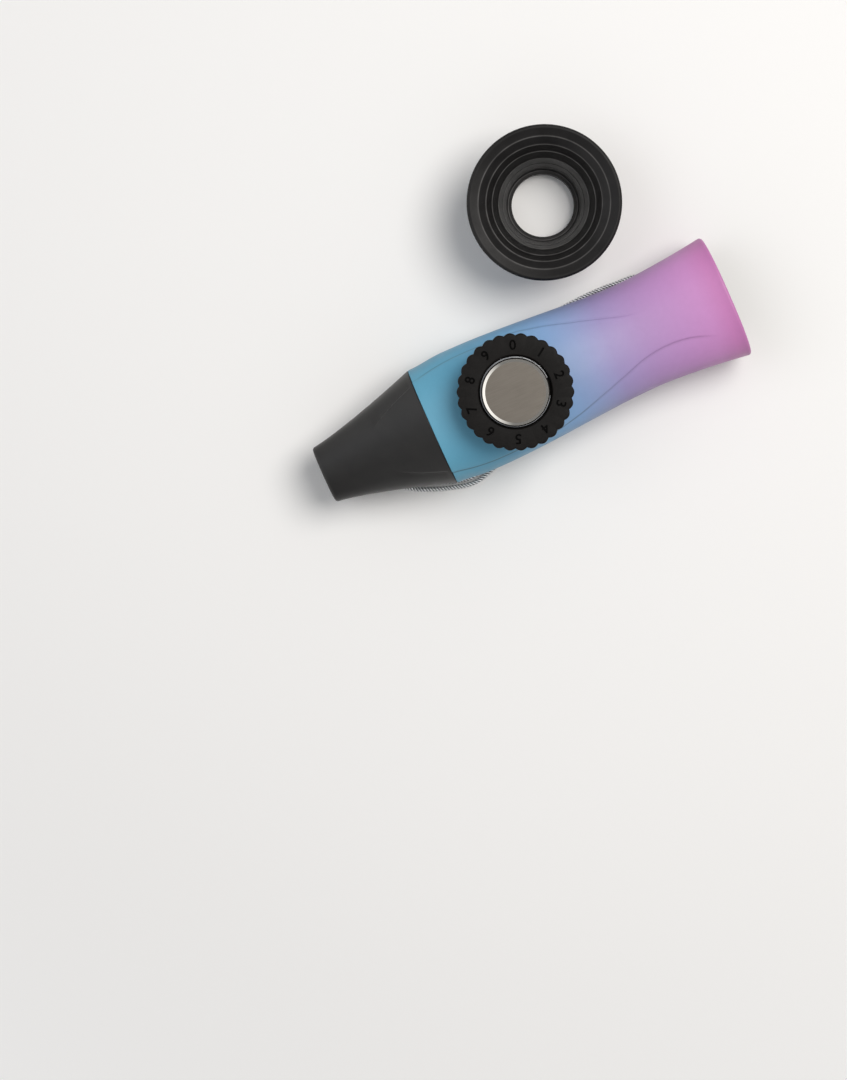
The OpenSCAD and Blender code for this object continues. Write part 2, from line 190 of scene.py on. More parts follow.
def closePoles(mesh):
    # joins the points that a grid repeats where it meets its axis, and turns every face outwards
    work = bmesh.new()
    work.from_mesh(mesh)
    bmesh.ops.remove_doubles(work, verts=work.verts, dist=1e-6)
    bmesh.ops.delete(work, geom=[edge for edge in work.edges if edge.is_wire], context="EDGES")
    bmesh.ops.recalc_face_normals(work, faces=work.faces)
    work.to_mesh(mesh)
    work.free()


def applyBooleans(piece, steps):
    # steps are (operation, object) pairs, in order; the other objects are used up
    for operation, other in steps:
        cutter = piece.modifiers.new(operation, "BOOLEAN")
        cutter.operation = operation
        cutter.solver = "MANIFOLD"
        cutter.object = other
    bpy.context.view_layer.update()
    made = bpy.data.meshes.new_from_object(piece.evaluated_get(bpy.context.evaluated_depsgraph_get()))
    piece.modifiers.clear()
    piece.data = made
    for _, other in steps:
        bpy.data.objects.remove(other)
    return piece


def boxGrid(low, high):
    # the four corners of the lowest level, then the four of the highest
    x0, y0, z0 = low
    x1, y1, z1 = high
    ring = np.array([[x0, y0], [x1, y0], [x1, y1], [x0, y1]], float)
    grid = np.empty((2, 4, 3))
    grid[..., :2] = ring
    grid[0, :, 2], grid[1, :, 2] = z0, z1
    return grid


def threadGrid(rootR, crestR, fromZ, shape):
    # A ridge carried up a helix: four corners per section, wide at the root and narrow at the crest,
    # whose crest sinks towards the root over the first and last parts of a turn.
    steps = int(shape["threadTurns"] * shape["threadSteps"])
    share = np.linspace(0, 1, steps + 1)
    turn = share * shape["threadTurns"] * 2 * math.pi
    height = fromZ + share * shape["threadTurns"] * shape["pitch"]
    fade = ease(np.clip(np.minimum(share, 1 - share) * shape["threadTurns"] / shape["threadFade"], 0, 1))
    crest = mix(rootR, crestR, mix(shape["threadSunk"], 1, fade))
    grid = np.empty((steps + 1, 4, 3))
    corners = ((rootR + 0 * turn, -shape["rootW"] / 2), (rootR + 0 * turn, shape["rootW"] / 2),
               (crest, shape["crestW"] / 2), (crest, -shape["crestW"] / 2))
    for k, (radius, rise) in enumerate(corners):
        grid[:, k] = np.stack([radius * np.cos(turn), radius * np.sin(turn), height + rise], 1)
    return grid


# Materials

def linearColour(hexText):
    # sRGB hex to the linear values that shaders take
    value = np.array([int(hexText[k:k + 2], 16) for k in (1, 3, 5)]) / 255
    linear = np.where(value <= 0.04045, value / 12.92, ((value + 0.055) / 1.055) ** 2.4)
    return (*[float(v) for v in linear], 1.0)


def addNode(tree, kind, inputs=(), **settings):
    # inputs are (socket, value or another node's output) pairs
    node = tree.nodes.new(kind)
    for name, value in settings.items():
        setattr(node, name, value)
    for name, value in inputs:
        if isinstance(value, bpy.types.NodeSocket):
            tree.links.new(value, node.inputs[name])
        else:
            node.inputs[name].default_value = value
    return node


def setStops(ramp, stops):
    # (position, hex colour) pairs
    elements = ramp.color_ramp.elements
    while len(elements) < len(stops):
        elements.new(0.5)
    for element, (position, colour) in zip(elements, stops):
        element.position = position
        element.color = linearColour(colour)


def dress(piece, *finishes):
    # the first finish goes on the whole piece, and the second on the faces that are marked for it
    piece.data.materials.clear()
    for finish in finishes:
        piece.data.materials.append(finish)


def markFaces(piece, chosen):
    # the chosen faces take the piece's second material
    piece.data.polygons.foreach_set("material_index", chosen.astype(np.int32))


def newMaterial(name, sockets):
    # a Principled shader with the finish's own numbers on its sockets, and Object coordinates
    material = bpy.data.materials.new(name)
    material.use_nodes = True
    tree = material.node_tree
    shader = tree.nodes["Principled BSDF"]
    for socket, value in sockets.items():
        shader.inputs[socket].default_value = value
    place = addNode(tree, "ShaderNodeTexCoord").outputs["Object"]
    return material, tree, shader, place


def grainBump(tree, shader, place, grain, depth, strength):
    # moulded or sprayed grain: noise whose cells are grain mm wide and whose height is depth mm
    cells = addNode(tree, "ShaderNodeTexNoise", [("Vector", place), ("Scale", 1 / (grain * toMetres)),
                                                 ("Detail", 2.0), ("Roughness", 0.55)])
    bump = addNode(tree, "ShaderNodeBump", [("Height", cells.outputs["Fac"]), ("Strength", strength),
                                            ("Distance", depth * toMetres)])
    tree.links.new(bump.outputs["Normal"], shader.inputs["Normal"])


def mottledColour(tree, shader, place, size, detail, stops, distortion=0.0):
    # the base colour drifts between close tones in patches size mm wide
    patches = addNode(tree, "ShaderNodeTexNoise", [("Vector", place), ("Scale", 1 / (size * toMetres)),
                                                   ("Detail", detail), ("Distortion", distortion)])
    ramp = addNode(tree, "ShaderNodeValToRGB", [("Fac", patches.outputs["Fac"])])
    setStops(ramp, stops)
    tree.links.new(ramp.outputs["Color"], shader.inputs["Base Color"])
    return patches.outputs["Fac"], ramp.outputs["Color"]


def roughnessNoise(tree, shader, place, size, low, high):
    # handling and dust make a moulded surface slightly more or less dull in patches size mm wide
    patches = addNode(tree, "ShaderNodeTexNoise", [("Vector", place), ("Scale", 1 / (size * toMetres)),
                                                   ("Detail", 4.0), ("Roughness", 0.6)])
    span = addNode(tree, "ShaderNodeMapRange", [("Value", patches.outputs["Fac"]), ("From Min", 0.3),
                                                ("From Max", 0.7), ("To Min", low), ("To Max", high)])
    tree.links.new(span.outputs["Result"], shader.inputs["Roughness"])


def closeFinish(name, sockets, colour, rough, grain):
    # A plain moulded, rolled or plated surface. The colour is the drift's size, its detail and its stops,
    # rough is the size of the duller patches and their range, and grain its width, height and strength.
    material, tree, shader, place = newMaterial(name, sockets)
    mottledColour(tree, shader, place, *colour)
    roughnessNoise(tree, shader, place, *rough)
    grainBump(tree, shader, place, *grain)
    return material


# Lanyard cord: 1.5 mm three-ply metallic yarn, doubled, both ends held in the crimp

lanyard = {
    "thickness": 1.5,
    "plyRadius": 0.39,      # radius of one ply
    "plyOffset": 0.36,      # its centre's distance from the cord's
    "lay": 2.7,             # length of one turn of a ply
    "ringSpacing": 0.15, "perSpan": 40, "pointsPerPly": 6,
    "plyHalf": 60,          # degrees of the cord's outline on either side of a ply's centre
    "sharp": 80,            # degrees past which an edge is shaded sharp, here as for every piece
    "silver": "#F6F7F8", "grey": "#CFD1D3", "shade": "#4C4E52",
    "filament": 0.12,       # between filaments, coarser than the real ones so that they show
    # length along the cord of the painted glints, mm
    "glint": 0.45,
    "route": [
        (-3, -16.08, 2.5), (-8, -16.1, 2.2), (-12, -17.15, 1.4), (-16, -18.95, 0.8), (-22, -20.1, 0.8),
        (-30, -18.15, 0.8), (-38, -14.8, 0.8), (-44, -10, 0.8), (-47.5, -3.6, 0.8), (-47.5, 3.6, 0.8),
        (-43.6, 9.6, 0.8), (-35, 13, 0.8), (-24, 14, 0.8), (0, 14.4, 0.8), (26, 16, 0.8),
        (35, 16.1, 0.8), (39.5, 15.8, 0.8), (44.4, 15.5, 0.8), (47.8, 14, 0.8), (49.2, 10.6, 0.8),
        (47.8, 7.2, 0.8), (44.4, 5.8, 0.8), (39.5, 6.5, 0.8), (35, 8, 0.8), (26, 10.6, 0.8),
        (12, 12.2, 0.8), (-6, 12.3, 0.8), (-24, 12.1, 0.8), (-34, 11.2, 0.8), (-42, 8, 0.8),
        (-45.7, 3, 0.8), (-45.7, -3, 0.8), (-42.6, -8.6, 0.8), (-37, -13, 0.8), (-29.4, -16.45, 0.8),
        (-22, -18.35, 0.8), (-16, -17.1, 0.8), (-12, -15.35, 1.4), (-8, -14.54, 2.2), (-3, -14.52, 2.5),
    ],
}


def cordMesh(line, run, look):
    # Each ring's outline is three overlapping circles, and the ring turns with the lay as it goes along.
    # On either side of a ply's centre the radius is offset * cos + sqrt(ply^2 - (offset * sin)^2).
    ahead = np.gradient(line, axis=0)
    ahead[[0, -1], 1:] = 0      # both ends lie along X, in the crimp
    ahead /= np.linalg.norm(ahead, axis=1, keepdims=True)
    side = np.cross([0, 0, 1.0], ahead)
    side /= np.linalg.norm(side, axis=1, keepdims=True)
    up = np.cross(ahead, side)
    half = look["plyHalf"]
    fromPly = np.tile(np.linspace(-half, half, look["pointsPerPly"], endpoint=False), 3)
    plyAngle = np.radians(np.repeat([0, 2 * half, 4 * half], look["pointsPerPly"]) + fromPly)
    bend = np.radians(fromPly)
    radius = look["plyOffset"] * np.cos(bend) + np.sqrt(
        look["plyRadius"] ** 2 - (look["plyOffset"] * np.sin(bend)) ** 2)
    angle = plyAngle[None, :] + 2 * math.pi * run[:, None] / look["lay"]
    grid = line[:, None] + radius[None, :, None] * (
        np.cos(angle)[..., None] * side[:, None] + np.sin(angle)[..., None] * up[:, None])
    mesh = gridMesh("lanyard", grid)
    pointAttribute(mesh, "groove", np.tile(np.abs(fromPly) / look["plyHalf"], len(line)))
    pointAttribute(mesh, "along", np.repeat(run, len(fromPly)) * toMetres)
    smooth(mesh, look["sharp"])
    return mesh


def metallicYarn(look):
    # Twisted yarn of metallised film: bright flattened filaments, with painted shade where the plies meet and
    # painted glints along the cord
    material, tree, shader, place = newMaterial("twisted metallic yarn", {
        "Metallic": 0.6, "Roughness": 0.34, "IOR": 1.5})
    groove = addNode(tree, "ShaderNodeAttribute", attribute_name="groove").outputs["Fac"]
    along = addNode(tree, "ShaderNodeAttribute", attribute_name="along").outputs["Fac"]
    filament = addNode(tree, "ShaderNodeTexNoise", [
        ("Vector", place), ("Scale", 1 / (look["filament"] * toMetres)), ("Detail", 2.0)])
    glint = addNode(tree, "ShaderNodeTexNoise", [
        ("W", along), ("Scale", 1 / (look["glint"] * toMetres)), ("Detail", 1.0)], noise_dimensions="1D")
    # painted shade: the yarn is darker towards the grooves where the plies meet
    depth = addNode(tree, "ShaderNodeMath", [(0, groove), (1, 2.2)], operation="POWER")
    filamentsAndPlyShade = addNode(tree, "ShaderNodeMath", [(0, filament.outputs["Fac"]), (1, 0.35), (2, depth.outputs[0])],
                   operation="MULTIPLY_ADD")
    dark = addNode(tree, "ShaderNodeMath", [(0, glint.outputs["Fac"]), (1, 0.3), (2, filamentsAndPlyShade.outputs[0])],
                   operation="MULTIPLY_ADD")
    ramp = addNode(tree, "ShaderNodeValToRGB", [("Fac", dark.outputs[0])])
    setStops(ramp, [(0.25, look["silver"]), (0.6, look["grey"]), (1.0, look["shade"])])
    tree.links.new(ramp.outputs["Color"], shader.inputs["Base Color"])
    grainBump(tree, shader, place, look["filament"], 0.03, 0.6)
    return material


lanyardLine, lanyardRun = evenlySpaced(smoothCurve(lanyard["route"], lanyard["perSpan"]),
                                       lanyard["ringSpacing"])
cord = newPiece("lanyard", cordMesh(lanyardLine, lanyardRun, lanyard))
dress(cord, metallicYarn(lanyard))
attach(cord, "kazoo")
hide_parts("lanyard_cord")
print("lanyard made:", round(float(lanyardRun[-1]), 1), "mm")


# Body: sprayed ABS tube with a shoulder and a threaded turret under the knob

body = {
    "axisHeight": 13.5,
    "jointX": -25.5, "bellyX": -14.5, "waistX": 38, "mouthX": 65.5,
    "widths": (35, 36.6, 31.3, 36.2),       # at the joint, belly, waist and mouth
    "depths": (28, 28.6, 23.6, 29),
    "widthSkews": (1.12, 1.6),              # powers of the curves to the waist and to the mouth
    "depthSkews": (1.6, 1.9),
    "wall": 1.8,
    "squareness": 2.3,
    "shoulderR": 14.6, "shoulderZ": 28.3,   # top edge of the cone round the turret
    "shoulderFall": 7.06, "shoulderBlend": 1.2,
    "lip": 0.8,                             # rounding of the flared mouth's edge
    "jointEdge": 0.22,                      # worn corner at the mouthpiece joint
    "rings": 290, "airwayRings": 90,
    "edgeSteps": 6, "lipSteps": 7,          # of the two rounded ends
    "roundSteps": 120, "airwaySteps": 96, "lugSteps": 72,
    "socketR": 12.0, "socketX": -13.5,
    "seatZ": 27.2, "seatHoleR": 8.4,
    "boreR": 11.25, "turretR": 13.4, "turretTop": 33.2, "turretEdge": 0.35,
    "keyReach": 11.95, "keyHalfWidth": 1.1, "keyZ": 28.75,
    "lugX": -3, "lugY": -15.3, "lugZ": 2.5, "lugLength": 3, "lugR": 2.45, "lugHoleR": 1.65,
    "lugEdge": 0.25, "webHeight": 4.5, "webWidth": 3.1, "webShares": (1 / 3, 2 / 3),
    "overrun": 1, "cutAbove": 5,            # how far the cutters reach past an end, and over the turret
    "sharp": 38,
}
styleLine = {
    # plan of the incised line on either side of the body, (x, distance from the middle)
    "path": [(-27, 13.9), (-24, 14.3), (-19, 15.2), (-14, 15.7), (-9, 15.8), (-4, 15.7), (2, 15.7),
             (7, 15.2), (11, 14.4), (14.5, 13.6), (18, 12.6), (21.5, 11.5), (25, 10.5), (28.5, 9.4),
             (32, 8.3), (36, 7.0), (40, 6.2), (44, 5.9), (48, 6.1), (52, 6.9), (56, 8.3), (60, 10),
             (66, 13)],
    "depth": 0.24, "width": 0.3,            # of the groove
    "step": 0.28, "stepFall": 3.2,          # the side below it is set in, and comes back out
    "fades": {-1: (-28, -24, 51, 59), 1: (-28, -20, 33, 42)},
    # painted shade in the groove: whole up to the first x and less past the second, and less on the horn's
    # side
    "grooveShadeTo": (4, 30), "grooveShadeFar": 0.25, "grooveShadeLeft": 0.5,
}


def alongBody(x, sizes, skews):
    # eased from the joint to the belly and from the belly to the waist, and a power curve out to the mouth
    joint, belly, waist, mouth = sizes
    nose = (x - body["jointX"]) / (body["bellyX"] - body["jointX"])
    middle = np.clip((x - body["bellyX"]) / (body["waistX"] - body["bellyX"]), 0, 1) ** skews[0]
    flare = np.clip((x - body["waistX"]) / (body["mouthX"] - body["waistX"]), 0, None) ** skews[1]
    return np.where(x < body["bellyX"], mix(joint, belly, ease(np.clip(nose, 0, 1))),
                    np.where(x < body["waistX"], mix(belly, waist, ease(middle)), mix(waist, mouth, flare)))


def bodyHalves(x):
    # half the width and half the depth
    return (alongBody(x, body["widths"], body["widthSkews"]) / 2,
            alongBody(x, body["depths"], body["depthSkews"]) / 2)


def signedPower(value, power):
    # a power of the size alone, with the sign kept
    return np.sign(value) * np.abs(value) ** power


def sections(x, halfWidth, halfDepth, angle, squareness=body["squareness"]):
    # superellipse rings, one at each x: the width goes with cos^(2/n), and the height with sin^(2/n)
    x, halfWidth, halfDepth = (ring[:, None] for ring in (x, halfWidth, halfDepth))
    grid = np.empty((*np.broadcast_shapes(x.shape, angle.shape), 3))
    grid[..., 0] = x
    grid[..., 1] = halfWidth * signedPower(np.cos(angle), 2 / squareness)
    grid[..., 2] = body["axisHeight"] + halfDepth * signedPower(np.sin(angle), 2 / squareness)
    return grid


def gridNormals(grid):
    # cross product of the two neighbour differences, turned away from the airway's centre line
    along = np.gradient(grid, axis=0)
    around = np.roll(grid, -1, 1) - np.roll(grid, 1, 1)
    normal = np.cross(around, along)
    normal /= np.maximum(np.linalg.norm(normal, axis=-1, keepdims=True), 1e-9)
    outward = grid * [0, 1, 1] - [0, 0, body["axisHeight"]]
    return normal * np.sign(np.sum(normal * outward, -1, keepdims=True))


ringPoints = {
    # a ring's points beside the incised line, as shares of the way to its top or bottom, then evenly on
    "near": (0.005, 0.010, 0.016, 0.023, 0.032, 0.045, 0.065), "evenFrom": 0.09, "above": 26, "below": 30,
    "planSteps": 12,        # in each span of the line's plan
    "farthest": 0.97,       # most of the half width that the line may stand from the middle
}


def styledAngles(lineAngle):
    # ring angles from the top down one side and up the other, close together beside the line on each side
    near, evenFrom = np.array(ringPoints["near"]), ringPoints["evenFrom"]
    above = np.concatenate([np.linspace(1, evenFrom, ringPoints["above"]), near[::-1], [0]])
    below = np.concatenate([near, np.linspace(evenFrom, 1, ringPoints["below"])])
    lineAngle = lineAngle[:, None]
    half = np.concatenate([mix(lineAngle, math.pi / 2, above), mix(lineAngle, -math.pi / 2, below)], 1)
    return np.concatenate([half, math.pi - half[:, -2:0:-1]], 1), len(above) - 1


def incise(grid, lineColumn, depthBySide, groove):
    # Moves the skin along its normal. With t the arc distance below the line, the move inwards is a narrow
    # bell round t = 0 plus, below the line, a step that decays with t. The bell's share is given back too.
    normal = gridNormals(grid)
    columns = grid.shape[1]
    half = columns // 2
    run = np.cumsum(np.linalg.norm(np.diff(grid, axis=1, append=grid[:, :1]), axis=2), axis=1)
    run = np.concatenate([np.zeros((len(grid), 1)), run[:, :-1]], 1)
    inward, share = np.zeros(grid.shape[:2]), np.zeros(grid.shape[:2])
    for side, column in ((1, lineColumn), (-1, columns - lineColumn)):
        t = (run - run[:, column:column + 1]) * side
        own = np.arange(columns) <= half if side > 0 else np.arange(columns) >= half
        bell = np.exp(-(t / groove["width"]) ** 2)
        below = np.clip(t / (2 * groove["width"]), 0, 1)
        step = groove["step"] * ease(below) * np.exp(-np.clip(t, 0, None) / groove["stepFall"])
        inward += own * (groove["depth"] * bell + step) * depthBySide[side][:, None]
        share += own * bell * depthBySide[side][:, None]
    return grid - normal * inward[..., None], share


def fadeAlong(x, limits):
    # 0 to 1 between the first two limits, and back to 0 between the last two, eased
    startLow, startHigh, endLow, endHigh = limits
    return (ease(np.clip((x - startLow) / (startHigh - startLow), 0, 1))
            * (1 - ease(np.clip((x - endLow) / (endHigh - endLow), 0, 1))))


def lineAngles(x, halfWidth, path):
    # the angle at which the section is as wide as the style line's plan
    plan = smoothCurve(path, ringPoints["planSteps"])
    reach = np.interp(x, plan[:, 0], plan[:, 1])
    return np.arccos(np.clip(reach / halfWidth, 0, ringPoints["farthest"]) ** (body["squareness"] / 2))


def raiseShoulder(grid):
    # Soft maximum of the skin's height and that of a steep cone round the turret: with h the share of the
    # cone, from 0 to 1 over the blend's height, their mix plus blend * h * (1 - h)
    height, blend = grid[..., 2], body["shoulderBlend"]
    out = np.clip(np.hypot(grid[..., 0], grid[..., 1]) - body["shoulderR"], 0, None)
    cone = body["shoulderZ"] - body["shoulderFall"] * out
    h = np.clip(0.5 + 0.5 * (cone - height) / blend, 0, 1)
    raised = mix(height, cone, h) + blend * h * (1 - h)
    grid[..., 2] = np.where(height > body["axisHeight"], np.minimum(raised, body["shoulderZ"]), height)
    return grid


def roundedRun(fromX, toX, edge, lip, between, cornerSteps):
    # places along a tube, and how far each ring is set in: quarter circles round off its two ends
    corner = np.linspace(0, math.pi / 2, cornerSteps)
    x = np.concatenate([fromX + edge * (1 - np.cos(corner)), between, toX - lip + lip * np.sin(corner)])
    inset = np.concatenate([edge * (1 - np.sin(corner)), 0 * between, lip * (1 - np.cos(corner))])
    order = np.argsort(x, kind="stable")
    return x[order], inset[order]


def bodySkin():
    # superellipse rings with the shoulder raised, the line cut in and the flat cut off, and the share of
    # painted shade in the groove
    b = body
    between = np.linspace(b["jointX"], b["mouthX"] - b["lip"], b["rings"])[1:-1]
    x, inset = roundedRun(b["jointX"], b["mouthX"], b["jointEdge"], b["lip"], between, b["edgeSteps"])
    halfWidth, halfDepth = bodyHalves(x)
    angle, lineColumn = styledAngles(lineAngles(x, halfWidth, styleLine["path"]))
    grid = raiseShoulder(sections(x, halfWidth - inset, halfDepth - inset, angle))
    fades = {side: fadeAlong(x, styleLine["fades"][side]) for side in (1, -1)}
    grid, share = incise(grid, lineColumn, fades, styleLine)
    grid[..., 2] = np.maximum(grid[..., 2], 0)
    far = ease(np.clip((x - styleLine["grooveShadeTo"][0]) / np.ptp(styleLine["grooveShadeTo"]), 0, 1))
    held = np.where(grid[..., 1] > 0, styleLine["grooveShadeLeft"], 1)
    return grid, share * held * mix(1, styleLine["grooveShadeFar"], far)[:, None]


def airwaySolid():
    # the space inside the wall, which opens out over the mouth's rounded lip
    lip, wall, mouthX = body["lip"], body["wall"], body["mouthX"]
    corner = np.linspace(0, math.pi / 2, body["lipSteps"])
    within = np.linspace(body["socketX"], mouthX - lip, body["airwayRings"])[:-1]
    x = np.concatenate([within, mouthX - lip + lip * np.sin(corner), [mouthX + body["overrun"]]])
    inset = wall - np.concatenate([0 * within, lip * (1 - np.cos(corner)), [lip]])
    angle = np.linspace(0, 2 * math.pi, body["airwaySteps"], endpoint=False)[None, :]
    halfWidth, halfDepth = bodyHalves(x)
    return sections(x, halfWidth - inset, halfDepth - inset, angle)


def rodAlongX(radius, fromX, toX, y, z, steps, edge=0.0):
    # a round bar along X with its two rims cut at 45 degrees by edge
    turn = np.linspace(0, 2 * math.pi, steps, endpoint=False)
    x = np.array([fromX, fromX + edge, toX - edge, toX]) if edge else np.array([fromX, toX])
    r = np.array([radius - edge, radius, radius, radius - edge]) if edge else np.array([radius, radius])
    grid = np.empty((len(x), steps, 3))
    grid[..., 0] = x[:, None]
    grid[..., 1] = y + r[:, None] * np.cos(turn)
    grid[..., 2] = z + r[:, None] * np.sin(turn)
    return grid


thread = {
    "pitch": 2.4, "rootW": 1.1, "crestW": 0.6,
    "threadTurns": 1.2, "threadSteps": 72,
    "threadFade": 0.08, "threadSunk": 0.15,     # turns over which an end sinks, and the share that is left
    "fromZ": 30.1, "rootR": 13.2, "crestR": 14.0,
    "knobTurns": 0.9, "knobFromZ": 31.3, "knobRootR": 14.4, "knobCrestR": 13.6,
}
bareAbs = {
    # where no lacquer goes: in from this share of the wall, and on the turret inside this radius above this
    "wallShare": 0.6, "turretReach": thread["crestR"] + 0.1, "turretFromZ": body["shoulderZ"] - 1.6,
}


def makeBody():
    b = body
    top, edge = b["turretTop"], b["turretEdge"]
    turret = latheGrid([(b["turretR"], b["axisHeight"]), (b["turretR"], top - edge),
                        (b["turretR"] - edge, top)], b["roundSteps"])
    lugEndX = b["lugX"] + b["lugLength"]
    webLow = (b["lugX"], b["lugY"] - b["webShares"][0] * b["webWidth"], b["lugZ"])
    webHigh = (lugEndX, b["lugY"] + b["webShares"][1] * b["webWidth"], b["lugZ"] + b["webHeight"])
    joined = [
        solid("turret", turret),
        solid("ridge", threadGrid(thread["rootR"], thread["crestR"], thread["fromZ"], thread)),
        solid("lug", rodAlongX(b["lugR"], b["lugX"], lugEndX, b["lugY"], b["lugZ"], b["lugSteps"],
                               b["lugEdge"])),
        solid("web", boxGrid(webLow, webHigh)),
    ]
    high, over = top + b["cutAbove"], b["overrun"]
    cut = [
        solid("airway", airwaySolid()),
        solid("socket", rodAlongX(b["socketR"], b["jointX"] - over, b["socketX"] + over, 0, b["axisHeight"],
                                  b["roundSteps"])),
        solid("opening", latheGrid([(b["seatHoleR"], b["axisHeight"]), (b["seatHoleR"], high)],
                                   b["airwaySteps"])),
        solid("bore", latheGrid([(b["boreR"], b["seatZ"]), (b["boreR"], top - edge), (b["boreR"] + edge, top),
                                 (b["boreR"] + edge, high)], b["roundSteps"])),
        solid("keyway", boxGrid((-b["keyReach"], -b["keyHalfWidth"], b["keyZ"]),
                                (b["keyReach"], b["keyHalfWidth"], high))),
        solid("lugHole", rodAlongX(b["lugHoleR"], b["lugX"] - over, lugEndX + over, b["lugY"], b["lugZ"],
                                   b["lugSteps"])),
    ]
    skin, grooveShade = bodySkin()
    piece = solid("body", skin)
    # the share of painted shade along the groove, for the lacquer's colour
    pointAttribute(piece.data, "grooveShade", grooveShade)
    applyBooleans(piece, [("UNION", o) for o in joined] + [("DIFFERENCE", o) for o in cut])
    return piece


def faceCentres(mesh):
    centre = np.empty(len(mesh.polygons) * 3)
    mesh.polygons.foreach_get("center", centre)
    return centre.reshape(-1, 3) / toMetres


def markInside(piece):
    # the bare second material goes on the airway, the socket and the turret
    x, y, z = faceCentres(piece.data).T
    halfWidth, halfDepth = bodyHalves(x)
    within = bareAbs["wallShare"] * body["wall"]
    across, up = np.abs(y) / (halfWidth - within), np.abs(z - body["axisHeight"]) / (halfDepth - within)
    inAirway = across ** body["squareness"] + up ** body["squareness"] < 1
    onTurret = (np.hypot(x, y) < bareAbs["turretReach"]) & (z > bareAbs["turretFromZ"])
    markFaces(piece, inAirway | onTurret)


sprayPaint = {
    # colours along the body from the joint to the mouth, by x in mm
    "from": -25.5, "to": 65.5,
    "stops": [(-25.5, "#62A6C2"), (-12, "#65AACA"), (4, "#7AAED6"), (14, "#8BAEDB"), (21, "#95A5D1"),
              (29, "#A295C6"), (40, "#B490C5"), (50, "#C390C9"), (57, "#CE90CB"), (62, "#CD85C0"),
              (65.5, "#C37AB4")],
    "grooveShadeTone": 0.42,       # of the colour, where painted shade lies in the style line
    "wander": 3.0,          # how far the fade wanders along the body, mm
    "wanderSize": 22, "mottleSize": 1.6, "mottle": (0.965, 1.03),
    "rough": (4, 0.40, 0.52),
    "peel": (0.22, 0.02, 0.35),     # orange peel of the sprayed coat
}


def sprayedPaint(look):
    # Soft-touch lacquer over ABS: satin, with a fine even grain, a fade sprayed from two ends and painted
    # shade in the style line's groove
    material, tree, shader, place = newMaterial("sprayed soft-touch lacquer", {"IOR": 1.5})
    along = addNode(tree, "ShaderNodeSeparateXYZ", [("Vector", place)]).outputs["X"]
    drift = addNode(tree, "ShaderNodeTexNoise", [
        ("Vector", place), ("Scale", 1 / (look["wanderSize"] * toMetres)), ("Detail", 1.0)])
    moved = addNode(tree, "ShaderNodeMath", [(0, drift.outputs["Fac"]), (1, look["wander"] * toMetres),
                                             (2, along)], operation="MULTIPLY_ADD")
    share = addNode(tree, "ShaderNodeMapRange", [
        ("Value", moved.outputs[0]), ("From Min", (look["from"] + look["wander"] / 2) * toMetres),
        ("From Max", (look["to"] + look["wander"] / 2) * toMetres)])
    ramp = addNode(tree, "ShaderNodeValToRGB", [("Fac", share.outputs["Result"])])
    span = look["to"] - look["from"]
    setStops(ramp, [((x - look["from"]) / span, colour) for x, colour in look["stops"]])
    mottle = addNode(tree, "ShaderNodeTexNoise", [
        ("Vector", place), ("Scale", 1 / (look["mottleSize"] * toMetres)), ("Detail", 3.0)])
    tone = addNode(tree, "ShaderNodeMapRange", [("Value", mottle.outputs["Fac"]),
                                                ("To Min", look["mottle"][0]), ("To Max", look["mottle"][1])])
    tinted = addNode(tree, "ShaderNodeVectorMath", [(0, ramp.outputs["Color"]), (1, tone.outputs["Result"])],
                     operation="MULTIPLY")
    # painted shade: the lacquer's colour is darker along the style line's groove, where shade falls
    grooveShade = addNode(tree, "ShaderNodeAttribute", attribute_name="grooveShade").outputs["Fac"]
    dull = addNode(tree, "ShaderNodeMapRange", [("Value", grooveShade), ("To Min", 1.0),
                                                ("To Max", look["grooveShadeTone"])]).outputs["Result"]
    grooveShaded = addNode(tree, "ShaderNodeVectorMath", [(0, tinted.outputs["Vector"]), (1, dull)],
                    operation="MULTIPLY")
    tree.links.new(grooveShaded.outputs["Vector"], shader.inputs["Base Color"])
    roughnessNoise(tree, shader, place, *look["rough"])
    grainBump(tree, shader, place, *look["peel"])
    return material


def bareBodyAbs():
    # Moulded black ABS inside the body, dulled by overspray
    return closeFinish("bare moulded ABS", {"IOR": 1.53}, (2.5, 4.0, [(0.3, "#1F1F22"), (0.75, "#2B2B2F")]),
                       (3, 0.42, 0.58), (0.3, 0.02, 0.5))


bodyPiece = makeBody()
dress(bodyPiece, sprayedPaint(sprayPaint), bareBodyAbs())
markInside(bodyPiece)
smooth(bodyPiece.data, body["sharp"])
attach(bodyPiece, "kazoo")
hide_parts("body_shell")
print("body made:", len(bodyPiece.data.polygons), "faces")


# Mouthpiece: moulded black ABS, pushed into the body

mouth = {
    "faceX": -25.55, "length": 34,
    "jointHalf": (17.5, 14), "tipHalf": (8.4, 5.3), "taperSkew": 1.25,
    "tipWall": 1.9, "tipRound": 0.75, "boreRound": 0.7, "jointEdge": 0.25,
    "spigotR": 11.95, "spigotWall": 1.9, "spigotRootX": -28, "spigotEndX": -13.5,
    "sealX": -18.5, "sealGroove": (1.3, 1.2),       # width and depth
    "spigotLap": 0.05, "spigotCuts": (0.4, 0.5),    # overlap at its root; edges inside and outside
    "rings": 110, "boreRings": 40, "lipSteps": 7, "sharp": 38,
}
mouthLine = {
    # plan of the incised line, (distance back from the joint, distance from the middle)
    "path": [(-2, 13.9), (1, 13.2), (5, 11.8), (9, 10.2), (13.5, 7.9), (18, 5.5), (34, 2)],
    "depth": 0.22, "width": 0.32,
    "step": 0.3, "stepFall": 3.5,
    "fades": {-1: (0.3, 2, 9, 15), 1: (0.3, 1.5, 12, 16)},
}


def taper(t):
    # one less the remaining share to the skew: steep at the joint and flatter towards the tip
    return 1 - (1 - np.clip(t, 0, 1)) ** mouth["taperSkew"]


